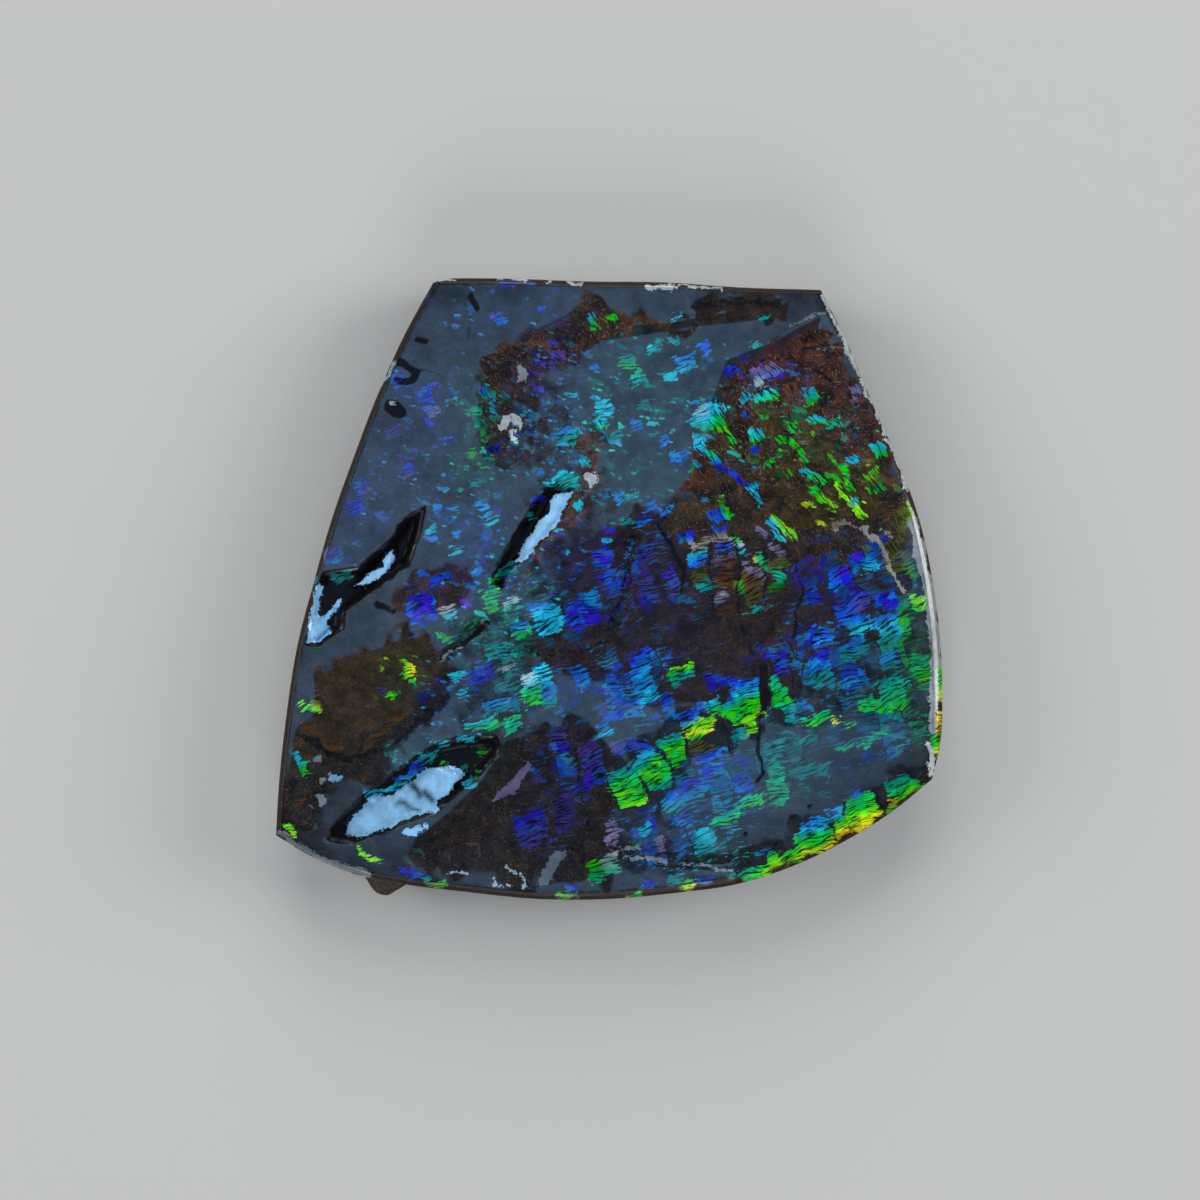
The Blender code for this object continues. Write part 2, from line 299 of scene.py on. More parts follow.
BOTTOM_HOLLOW: Route = (
    (-8.8, -12.6), (-5.6, -11.6), (-1.4, -11.2), (0.4, -13.4), (0.4, -18.0), (-0.6, -22.0), (-0.4, -25.0),
    (-9.0, -24.8), (-15.4, -23.9), (-17.2, -22.4), (-16.2, -20.8), (-13.6, -18.8), (-10.8, -15.8),
)
UPPER_LEFT_PIT: Route = (
    (-15.3, 7.0), (-15.8, 4.6), (-16.6, 2.2), (-19.2, 0.2), (-22.1, -2.0), (-22.2, -3.4), (-24.2, -4.8),
    (-25.2, -4.8), (-24.6, 0.2), (-23.8, 1.4), (-21.0, 1.8), (-18.2, 4.2), (-17.0, 6.0),
)
MIDDLE_PIT: Route = (
    (-4.8, 9.0), (-2.8, 8.2), (-3.6, 6.4), (-5.0, 4.4), (-7.6, 2.2), (-9.0, -0.2), (-9.9, 0.2),
    (-9.3, 2.2), (-7.7, 4.8), (-6.2, 7.4),
)
LOWER_LEFT_PIT: Route = (
    (-23.8, -21.0), (-22.8, -19.6), (-20.4, -17.2), (-18.3, -15.6), (-16.5, -14.3), (-14.2, -12.8),
    (-12.5, -12.4), (-9.5, -12.2), (-9.0, -13.5), (-11.2, -16.0), (-13.7, -18.0), (-16.0, -19.0),
    (-18.5, -20.2), (-21.4, -21.3),
)


@dataclass(frozen=True)
class FaceRelief:
    """Heights of the polished face about its flat level."""

    crown_drop: float = 0.45
    crown_reach: Point = (28.0, 26.0)
    hollow_softness: float = 0.5
    wall_direction: Point = (0.766, -0.643)
    wall_blend: float = 0.35
    wall_lip: float = 0.06
    swell_span: float = 5.0
    swell_height: float = 0.02
    ripple_span: float = 1.8
    ripple_height: float = 0.006
    hollows: tuple[Hollow, ...] = (
        Hollow(TOP_LEFT_HOLLOW, 11.0, 0.42),
        Hollow(UPPER_RIGHT_HOLLOW, 10.0, 0.75),
        Hollow(MIDDLE_HOLLOW, 7.5, 0.5),
        Hollow(LEFT_HOLLOW, 5.5, 0.4),
        Hollow(PIT_SIDE_HOLLOW, 6.0, 0.3),
        Hollow(BOTTOM_HOLLOW, 9.0, 0.55),
    )
    pits: tuple[Pit, ...] = (
        Pit(UPPER_LEFT_PIT, 0.75, 0.8),
        Pit(MIDDLE_PIT, 0.65, 0.6),
        Pit(LOWER_LEFT_PIT, 0.85, 0.9),
    )
    walls: tuple[PitWall, ...] = (
        PitWall(
            ((-22.1, -20.3), (-20.3, -17.9), (-16.8, -16.5), (-14.5, -14.8), (-12.1, -15.4), (-14.4, -18.6),
             (-17.0, -19.4), (-20.8, -20.7)), (-14.6, -18.7), 8.0,
        ),
        PitWall(
            ((-4.6, 8.1), (-3.0, 8.0), (-4.2, 6.0), (-6.5, 3.2), (-7.9, 2.2), (-6.3, 5.0)),
            (-4.4, 5.6), 8.0,
        ),
        PitWall(
            ((-21.6, 0.2), (-20.0, 1.4), (-18.3, 3.2), (-17.6, 3.4), (-18.6, 1.2), (-20.2, 0.2)),
            (-18.9, 1.0), 8.0,
        ),
        PitWall(((-24.9, -2.3), (-23.4, -3.0), (-24.3, -4.0), (-25.1, -4.6)), (-24.0, -4.1), 8.0),
    )
    creases: tuple[Crease, ...] = (
        Crease(((1.7, 3.5), (1.5, 0.5), (0.8, -2.2), (-0.8, -4.6), (-3.5, -5.5), (-6.8, -5.2)), 3.0, 0.12),
        Crease(((15.0, -1.5), (12.6, -7.0), (12.4, -12.0)), 2.0, 0.1),
        Crease(((-14.0, -5.8), (-12.8, -5.0), (-11.9, -4.0), (-10.5, -2.9)), 1.0, 0.3),
        Crease(((0.8, -22.0), (4.9, -22.8), (9.5, -23.0), (14.0, -21.7)), 1.4, 0.12),
    )

    def heights(self, points: np.ndarray) -> np.ndarray:
        """Works out the face.

        Args:
            points: Places on the face, in millimetres.

        Returns:
            The height at each place, in millimetres.
        """
        x, y = points[..., 0], points[..., 1]
        z = -self.crown_drop * ((x / self.crown_reach[0]) ** 2 + (y / self.crown_reach[1]) ** 2)
        for hollow in self.hollows:
            z = z - self.hollow_drop(points, hollow)
        for crease in self.creases:
            z = z - crease.depth * ease(1 - distance_to(points, crease.route) * 2 / crease.width)
        level = z.copy()
        for pit in self.pits:
            z = z - pit.depth * ease(depth_inside(points, pit.outline) / pit.wall)
        for wall in self.walls:
            share = cover(depth_inside(points, wall.outline), self.wall_blend)
            run = (points - np.array(wall.rim)) @ np.array(self.wall_direction)
            slope = math.tan(math.radians(wall.slope))
            z = z + (level - self.wall_lip + slope * np.minimum(run, 0.0) - z) * share
        z = z + self.swell_height * rough(x, y, self.swell_span, 3)
        return z + self.ripple_height * rough(x, y, self.ripple_span, 4)

    def hollow_drop(self, points: np.ndarray, hollow: Hollow) -> np.ndarray:
        """Works out one hollow.

        Args:
            points: Places on the face.
            hollow: The hollow.

        Returns:
            How far the hollow lowers each place.
        """
        d = np.maximum(depth_inside(points, hollow.outline), 0.0)
        soft = self.hollow_softness
        run = np.where(d < soft, d * d / (2 * soft), d - soft / 2)
        return hollow.deepest * (1 - np.exp(-run * math.tan(math.radians(hollow.slope)) / hollow.deepest))


@dataclass(frozen=True)
class Outline:
    """The stone's outline from above, and the face's edge inside its bevel."""

    spline_steps: int = 24
    bottom: Route = (
        (-27.85, -20.6), (-24.4, -22.6), (-21.0, -23.9), (-17.0, -24.7), (-12.0, -25.3), (-6.0, -25.9),
        (0.0, -25.9), (5.5, -25.4), (10.5, -24.7), (15.5, -23.1), (20.0, -20.9), (23.8, -18.5), (27.0, -15.9),
    )
    right: Route = (
        (27.0, -15.9), (27.7, -12.8), (27.84, -8.5), (27.6, -3.5), (26.9, 1.5), (25.8, 6.2),
        (24.1, 10.8), (21.9, 15.8), (19.8, 20.8), (17.7, 25.0),
    )
    top: Route = ((17.7, 25.0), (11.0, 25.2), (5.0, 25.6), (-2.0, 25.7), (-9.0, 25.95), (-14.5, 25.97))
    left: Route = (
        (-14.5, 25.97), (-17.3, 20.8), (-19.5, 15.8), (-21.4, 10.8), (-23.1, 6.0), (-24.6, 0.8),
        (-26.0, -4.6), (-27.0, -10.9), (-27.6, -16.5), (-27.85, -20.6),
    )
    bevels: tuple[float, float, float, float] = (0.55, 0.95, 0.45, 0.6)

    def spline(self, route: Route) -> np.ndarray:
        """Draws a smooth curve through a route's points.

        Args:
            route: The points.

        Returns:
            The curve, as many small steps.
        """
        p = np.array(route, float)
        gaps = np.linalg.norm(np.diff(p, axis=0), axis=1)
        t = np.concatenate(([0.0], np.cumsum(gaps)))
        slope = np.gradient(p, t, axis=0)
        out = [p[:1]]
        for i, gap in enumerate(gaps):
            s = np.linspace(0.0, 1.0, self.spline_steps + 1)[1:, None]
            a, b = 2 * s**3 - 3 * s**2 + 1, s**3 - 2 * s**2 + s
            c, d = 3 * s**2 - 2 * s**3, s**3 - s**2
            out.append(a * p[i] + b * gap * slope[i] + c * p[i + 1] + d * gap * slope[i + 1])
        return np.concatenate(out)

    @staticmethod
    def inward(curve: np.ndarray) -> np.ndarray:
        """Works out which way is into the stone along an edge.

        Args:
            curve: The edge, counter-clockwise.

        Returns:
            Unit normals that point into the stone.
        """
        along = np.gradient(curve, axis=0)
        along /= np.linalg.norm(along, axis=1)[:, None]
        return np.stack((-along[:, 1], along[:, 0]), axis=1)

    @staticmethod
    def evenly(curve: np.ndarray, shares: np.ndarray) -> np.ndarray:
        """Reads a curve at evenly spread places.

        Args:
            curve: The curve.
            shares: Shares of its length, from 0 to 1.

        Returns:
            The points there.
        """
        gaps = np.linalg.norm(np.diff(curve, axis=0), axis=1)
        t = np.concatenate(([0.0], np.cumsum(gaps)))
        return np.stack([np.interp(shares, t / t[-1], curve[:, k]) for k in (0, 1)], axis=1)

    @staticmethod
    def corner(a: np.ndarray, a_in: np.ndarray, b: np.ndarray, b_in: np.ndarray, width: float) -> np.ndarray:
        """Finds where two edges meet once both are moved in.

        Args:
            a: End of the first edge.
            a_in: Its inward normal there.
            b: Start of the second edge.
            b_in: Its inward normal there.
            width: How far both are moved in.

        Returns:
            The corner.
        """
        a_line, b_line = a + a_in * width, b + b_in * width
        a_dir, b_dir = np.array((a_in[1], -a_in[0])), np.array((b_in[1], -b_in[0]))
        cross = a_dir[0] * b_dir[1] - a_dir[1] * b_dir[0]
        gap = b_line - a_line
        return a_line + a_dir * (gap[0] * b_dir[1] - gap[1] * b_dir[0]) / cross

    def edges(self, columns: int, rows: int) -> tuple[list[np.ndarray], list[np.ndarray]]:
        """Reads the four edges at the mesh's spacing.

        Args:
            columns: Cells across the face.
            rows: Cells up the face.

        Returns:
            The outer edges and the face's edges, each bottom, right, top and left, counter-clockwise.
        """
        outer: list[np.ndarray] = []
        inner: list[np.ndarray] = []
        for k, route in enumerate((self.bottom, self.right, self.top, self.left)):
            shares = np.linspace(0.0, 1.0, (columns if k % 2 == 0 else rows) + 1)
            edge = self.evenly(self.spline(route), shares)
            width = self.bevels[k] + (self.bevels[(k + 1) % 4] - self.bevels[k]) * shares
            outer.append(edge)
            inner.append(edge + self.inward(edge) * width[:, None])
        for k in range(4):
            n = (k + 1) % 4
            point = self.corner(
                outer[k][-1], self.inward(outer[k])[-1], outer[n][0], self.inward(outer[n])[0], self.bevels[n]
            )
            inner[k][-1] = point
            inner[n][0] = point
        return outer, inner


@dataclass(frozen=True)
class Matrix:
    """The broken matrix wall under the face."""

    levels: tuple[tuple[float, float, float], ...] = (
        (5.9, 0.1, 0.15), (4.5, 0.3, 0.55), (3.2, 0.35, 0.9), (1.9, 0.55, 1.1), (0.5, 0.7, 1.0),
    )
    noise_spans: tuple[float, float] = (3.4, 1.5)
    noise_shares: tuple[float, float] = (0.7, 0.3)
    noise_seed: int = 7
    lump_centre: Point = (-18.8, -24.4)
    lump_reach: float = 2.3
    lump_half_length: float = 3.0
    lump_height: float = 3.4
    lump_half_height: float = 2.6
    lump_fullness: float = 1.2
    chamfer: float = 0.45
    bedding_stretch: Point = (0.35, 1.9)
    bedding_shift: float = 7.0
    bedding_dip: float = 0.05
    bedding_span: float = 0.8
    bedding_seed: int = 21
    bedding_depth: float = 0.16
    crumb_skew: Point = (3.1, 2.3)
    crumb_span: float = 0.45
    crumb_seed: int = 22
    crumb_depth: float = 0.09
    fade_height: float = 0.8
    draw_in: float = 0.05

    def inset(self, outline: np.ndarray, height: float, inset: float, roughness: float) -> np.ndarray:
        """Works out the wall at one level.

        Args:
            outline: The stone's outline.
            height: Height of the level.
            inset: How far the wall draws in there on the whole.
            roughness: How much further it draws in where it is broken deepest.

        Returns:
            How far the wall draws in from each point of the outline.
        """
        x, y = outline[:, 0] + height, outline[:, 1] - 2 * height
        noise = sum(
            share * rough(x, y, span, self.noise_seed)
            for span, share in zip(self.noise_spans, self.noise_shares)
        )
        from_lump = np.hypot(outline[:, 0] - self.lump_centre[0], outline[:, 1] - self.lump_centre[1])
        lump = ease(1 - from_lump / self.lump_half_length)
        away = abs(height - self.lump_height) / self.lump_half_height
        lump = lump * ease(np.array(self.lump_fullness - away))
        return inset + roughness * (0.5 + 0.5 * noise) - self.lump_reach * lump

    def rings(
        self, outline: np.ndarray, normals: np.ndarray, start: np.ndarray, between: int
    ) -> list[np.ndarray]:
        """Makes the wall's rings from the bevel's foot to the base.

        Args:
            outline: The stone's outline.
            normals: Its inward normals.
            start: Height of the bevel's foot at each point.
            between: Rings from one level to the next.

        Returns:
            Rings of points, from the top down.
        """
        insets = [np.zeros(len(outline))]
        heights = [start]
        for height, inset, roughness in self.levels:
            insets.append(self.inset(outline, height, inset, roughness))
            heights.append(np.full(len(outline), height))
        rings = []
        for k in range(len(self.levels)):
            for step in range(1, between + 1):
                share = step / between
                z = heights[k] + (heights[k + 1] - heights[k]) * share
                move = insets[k] + (insets[k + 1] - insets[k]) * share
                low = ease((start - z) / self.fade_height)
                move = move + low * self.breakage(outline, z)
                rings.append(np.column_stack((outline + normals * move[:, None], z)))
        foot = rings[-1].copy()
        foot[:, :2] += normals * self.chamfer
        foot[:, 2] = 0.0
        return rings + [foot]

    def breakage(self, outline: np.ndarray, z: np.ndarray) -> np.ndarray:
        """Works out the fine breakage of the wall.

        Args:
            outline: The stone's outline.
            z: Height of the ring at each point.

        Returns:
            How far the beds and the crumb draw each point in.
        """
        x, y = outline[:, 0], outline[:, 1]
        along = x * self.bedding_stretch[0] + self.bedding_shift
        up = z * self.bedding_stretch[1] + y * self.bedding_dip
        bed = rough(along, up, self.bedding_span, self.bedding_seed)
        crumb = rough(
            x + z * self.crumb_skew[0], y - z * self.crumb_skew[1], self.crumb_span, self.crumb_seed
        )
        return self.bedding_depth * bed + self.crumb_depth * crumb + self.draw_in


@dataclass(frozen=True)
class Sliver:
    """A thin piece of nacre along a route."""

    hue: Hue
    width: float
    route: Route
    strength: float = 1.0

    def reach(self) -> tuple[np.ndarray, np.ndarray]:
        """Returns the lowest and the highest corner."""
        route = np.array(self.route)
        return route.min(axis=0) - self.width / 2, route.max(axis=0) + self.width / 2

    def edge(self, points: np.ndarray) -> np.ndarray:
        """Returns how far inside the edge each point lies."""
        return self.width / 2 - distance_to(points, self.route)

    def colour(self, points: np.ndarray) -> np.ndarray:
        """Returns the colour at each point."""
        return np.tile(np.array(self.hue.value) * self.strength, (len(points), 1))


@dataclass(frozen=True)
class Cell:
    """A straight-sided piece of nacre, whose hues run from its foot to its head across the growth lines."""

    hues: tuple[Hue, ...]
    outline: Route
    strength: float = 1.0

    @classmethod
    def box(
        cls, hues: tuple[Hue, ...], left: float, low: float, right: float, high: float, strength: float = 1.0
    ) -> Cell:
        """Makes a cell that fills a box: its ends follow the growth lines and its sides lean.

        Args:
            hues: Colours from foot to head.
            left: Left side of the box.
            low: Foot of the box.
            right: Right side of the box.
            high: Head of the box.
            strength: Brightness.

        Returns:
            The cell.
        """
        rise = min(0.3 * (right - left), 0.35 * (high - low))
        lean = min(0.22 * (high - low), 0.3 * (right - left))
        outline = ((left, high - rise), (left + lean, low), (right, low + rise), (right - lean, high))
        return cls(hues, outline, strength)

    def reach(self) -> tuple[np.ndarray, np.ndarray]:
        """Returns the lowest and the highest corner."""
        outline = np.array(self.outline)
        return outline.min(axis=0), outline.max(axis=0)

    def edge(self, points: np.ndarray) -> np.ndarray:
        """Returns how far inside the edge each point lies."""
        return depth_inside(points, self.outline)

    def colour(self, points: np.ndarray) -> np.ndarray:
        """Returns the colour at each point."""
        turn = math.radians(HATCH_TURN)
        up = np.array((-math.sin(turn), math.cos(turn)))
        ends = np.array(self.outline) @ up
        share = (points @ up - ends.min()) / (ends.max() - ends.min())
        stops = np.linspace(0.1, 0.9, len(self.hues))
        hues = np.array([hue.value for hue in self.hues]) * self.strength
        return np.stack([np.interp(share, stops, hues[:, k]) for k in range(3)], axis=1)


Pieces = tuple[Cell | Sliver, ...]

GREEN_BAND: Pieces = (
    Cell((LIME, GREEN, GREEN, GREEN, TEAL),
         ((0.0, -15.5), (2.0, -15.0), (3.5, -17.8), (0.9, -18.4))),
    Cell((TEAL, CYAN, BLUE), ((1.4, -14.9), (3.8, -12.9), (4.3, -13.8), (2.4, -15.2)), 0.8),
    Cell((TEAL, GREEN, GREEN, GREEN),
         ((2.4, -15.2), (4.3, -13.9), (5.1, -14.9), (5.1, -16.3), (3.6, -16.9))),
    Cell((GREEN, GREEN, GREEN, TEAL),
         ((4.2, -12.7), (6.0, -11.9), (6.6, -14.5), (5.2, -14.6), (4.4, -13.6))),
    Cell.box((AZURE, BLUE), 5.7, -11.5, 7.4, -9.9, 0.8),
    Cell.box((OLIVE, OLIVE), 6.7, -13.9, 8.8, -12.5),
    Cell((GREEN, YELLOW, LIME, LIME),
         ((6.05, -11.6), (7.5, -10.8), (8.4, -10.7), (8.95, -11.5), (7.7, -12.4), (6.55, -12.85))),
    Cell.box((TEAL, CYAN), 7.9, -10.3, 9.3, -9.1),
    Cell.box((BLUE,), 7.2, -10.0, 8.0, -9.2),
    Cell((GREEN, GREEN, SEA),
         ((8.2, -10.3), (9.3, -9.5), (9.6, -10.0), (9.6, -10.9), (8.8, -10.8))),
    Cell.box((AZURE, BLUE), 9.8, -8.4, 12.7, -7.2, 0.9),
    Cell((SEA, CYAN, AZURE), ((9.6, -10.0), (9.8, -8.8), (12.7, -7.9), (12.8, -8.9)), 0.9),
    Cell((LIME, GREEN, GREEN, GREEN),
         ((9.6, -10.0), (12.8, -8.9), (13.1, -10.5), (10.4, -11.4))),
    Cell.box((LIME,), 11.4, -12.2, 12.4, -11.0),
    Cell.box((TEAL,), 10.2, -13.0, 11.5, -11.7),
    Cell((GREEN, GREEN, SEA),
         ((13.4, -7.3), (13.9, -7.3), (14.8, -8.4), (15.1, -9.6), (14.4, -10.1), (13.45, -9.6))),
    Cell((TEAL, TEAL), ((14.2, -10.1), (15.1, -9.6), (15.6, -11.3), (14.8, -11.3))),
)

LOWER_RIGHT: Pieces = (
    Cell.box((GREEN, GREEN, SEA), 16.1, -11.4, 18.5, -10.3),
    Cell.box((YELLOW,), 18.6, -11.4, 19.2, -11.0),
    Cell.box((GREEN,), 19.8, -11.6, 20.5, -11.1),
    Cell.box((GREEN, SEA), 22.4, -10.3, 24.9, -8.6, 0.8),
    Cell.box((SEA, TEAL), 22.3, -8.8, 25.0, -7.0, 0.8),
    Cell.box((GREEN, SEA), 20.8, -10.2, 22.3, -8.9, 0.8),
    Cell.box((TEAL, TEAL, AZURE, BLUE), 16.3, -8.3, 18.8, -5.0, 0.9),
    Cell.box((AZURE, BLUE), 19.2, -8.6, 21.6, -6.2, 0.7),
    Cell.box((INDIGO, BLUE), 13.4, -7.2, 15.1, -5.1, 0.8),
    Cell.box((AZURE, BLUE, BLUE), 16.6, -5.0, 18.7, -2.8),
    Cell.box((BLUE, BLUE), 18.9, -2.9, 20.5, -0.9),
    Cell.box((BLUE, BLUE), 22.0, -2.0, 24.2, 0.1),
    Cell.box((CYAN, AZURE), 19.8, -3.8, 21.9, -2.1, 0.9),
    Cell.box((TEAL, AZURE), 19.0, -6.2, 21.6, -4.0, 0.7),
    Cell.box((TEAL, CYAN, AZURE), 22.2, -4.6, 24.5, -1.9, 0.8),
    Cell.box((GREEN,), 24.1, -3.9, 25.2, -2.2, 0.8),
    Cell.box((GREEN, SEA), 25.2, -7.8, 26.8, -5.0, 0.7),
    Cell.box((GREEN, LIME, LIME), 25.1, -2.0, 26.6, -0.2),
    Cell.box((SEA, SEA, TEAL, TEAL), 12.9, -18.0, 15.0, -12.2, 0.8),
    Cell.box((TEAL, TEAL), 15.8, -15.9, 18.6, -14.4, 0.8),
    Cell.box((SEA, TEAL), 20.5, -13.2, 22.0, -12.4, 0.9),
    Cell.box((SEA,), 22.1, -12.4, 23.0, -11.8, 0.8),
    Cell.box((SEA,), 18.9, -13.6, 20.2, -12.8, 0.6),
    Cell.box((BLUE, BLUE), 7.5, -15.5, 9.8, -13.4, 0.9),
    Cell.box((INDIGO,), 10.5, -14.9, 12.1, -13.9, 0.8),
    Cell.box((AZURE, BLUE), 10.4, -17.0, 12.1, -15.6, 0.9),
    Cell((TEAL, AZURE, BLUE),
         ((5.2, -16.6), (8.2, -15.5), (8.5, -17.0), (5.2, -18.5), (3.8, -18.4)), 0.9),
    Cell.box((GREEN, SEA), 10.9, -18.3, 12.7, -17.0),
    Cell((GREEN, SEA, TEAL), ((8.7, -19.8), (9.2, -18.6), (10.9, -17.9), (10.7, -19.1))),
    Cell.box((TEAL, CYAN), 7.1, -22.4, 9.0, -19.8, 0.8),
    Cell.box((AZURE, BLUE), 5.0, -20.0, 7.4, -18.6, 0.7),
    Cell.box((TEAL, TEAL), 15.4, -13.2, 17.4, -12.0, 0.6),
    Cell.box((TEAL, AZURE), 22.6, -6.8, 24.4, -5.0, 0.7),
)

MIDDLE_FOOT: Pieces = (
    Cell((CYAN, AZURE, AZURE, BLUE),
         ((1.6, -5.6), (3.4, -4.8), (4.0, -9.2), (2.0, -9.8)), 0.9),
    Cell((TEAL, SEA, GREEN, LIME), ((5.0, -6.7), (7.0, -5.9), (7.3, -7.3), (5.3, -8.1)), 0.9),
    Cell.box((AZURE,), -0.5, -9.8, 1.2, -7.5, 0.7),
    Cell.box((AZURE, BLUE), 0.3, -10.3, 2.7, -9.0, 0.7),
    Cell.box((BLUE,), -0.3, -11.1, 1.1, -10.1, 0.8),
    Cell.box((CYAN, BLUE), -1.1, -12.5, 0.4, -11.0, 0.8),
    Cell.box((BLUE, VIOLET), 0.1, -13.7, 3.4, -12.4, 0.8),
    Cell.box((BLUE, INDIGO), 8.0, -8.6, 9.8, -6.8, 0.7),
    Cell.box((AZURE, BLUE), 4.2, -11.2, 5.7, -8.6, 0.7),
    Cell.box((BLUE,), -3.7, -3.3, -0.9, -0.6),
    Cell.box((AZURE,), -2.1, -1.8, -0.6, 0.0, 0.8),
)

LOWER_RIM: Pieces = (
    Cell.box((GREEN, TEAL), 20.0, -18.3, 21.9, -16.9),
    Cell.box((INDIGO,), 20.0, -17.2, 21.0, -16.6),
    Cell((YELLOW, YELLOW, LIME, GREEN, GREEN),
         ((19.4, -17.9), (21.7, -17.2), (23.1, -18.7), (20.7, -20.6), (19.8, -19.8)), 1.15),
    Cell((ORANGE, YELLOW, LIME, GREEN),
         ((18.5, -19.5), (19.7, -18.9), (20.5, -20.3), (19.0, -21.0))),
    Cell.box((CYAN, AZURE), 17.9, -19.4, 19.5, -18.1, 0.9),
    Cell.box((CYAN, AZURE), 15.7, -20.7, 18.1, -19.0, 0.9),
    Cell.box((YELLOW, GREEN, GREEN), 15.6, -22.3, 19.3, -19.9),
    Cell.box((LIME, GREEN), 13.3, -23.2, 16.2, -21.7),
    Cell.box((LIME, GREEN, SEA), 10.8, -24.4, 13.8, -23.1),
    Cell.box((TEAL, AZURE), 12.2, -22.5, 13.8, -21.6, 0.8),
    Cell.box((SEA, TEAL), 9.9, -24.4, 11.4, -23.7, 0.8),
    Cell((LIME, GREEN, SEA), ((23.0, -17.0), (26.2, -15.9), (26.3, -16.6), (23.6, -17.9)), 0.9),
    Cell.box((SEA, TEAL), 23.0, -16.8, 25.2, -15.6, 0.8),
    Cell.box((ORANGE,), 23.2, -18.0, 23.8, -17.6),
    Cell.box((GREEN,), 22.9, -18.7, 23.9, -18.2),
    Cell.box((BLUE,), 2.6, -25.1, 3.8, -24.1, 0.9),
    Cell.box((TEAL,), 4.7, -24.7, 5.9, -23.7, 0.9),
    Cell.box((YELLOW, GREEN), 6.0, -25.2, 7.3, -24.6),
    Cell.box((BLUE,), 7.3, -24.7, 8.5, -24.0),
    Cell.box((GREEN,), 1.5, -25.8, 2.7, -25.4),
    Cell.box((LILAC, LILAC), -0.5, -21.5, 1.0, -19.0, 0.8),
    Cell.box((LILAC,), 4.1, -22.1, 4.9, -20.6, 0.7),
    Cell.box((SEA, PALE), -0.6, -23.7, 0.8, -22.0, 0.6),
    Cell.box((SEA, GREEN), -1.9, -24.6, -0.4, -22.5, 0.6),
    Cell.box((GREEN,), 1.6, -21.7, 2.5, -21.2, 0.8),
    Cell.box((CYAN,), 2.4, -20.6, 3.6, -19.6, 0.7),
)

RIGHT_EDGE: Pieces = (
    Cell((YELLOW, GREEN, GREEN), ((27.2, -6.4), (27.9, -6.4), (27.9, -9.6), (27.25, -9.4))),
    Cell((ORANGE, YELLOW), ((27.2, -10.3), (27.8, -10.3), (27.8, -12.2), (27.2, -12.0))),
    Cell((YELLOW, GREEN, GREEN), ((26.9, -12.2), (27.8, -12.2), (27.6, -14.0), (26.6, -14.0))),
    Cell.box((LIME, GREEN), 27.2, -5.6, 27.9, -3.4, 0.8),
    Cell.box((OLIVE, OLIVE), 22.6, 1.2, 24.9, 4.2),
    Cell.box((OLIVE, OLIVE), 23.6, 4.2, 25.3, 7.0),
    Sliver(LIME, 0.4, ((24.9, 7.4), (25.2, 5.6)), 0.7),
    Cell.box((GREEN, OLIVE), 24.6, 1.0, 25.6, 3.0, 0.6),
)

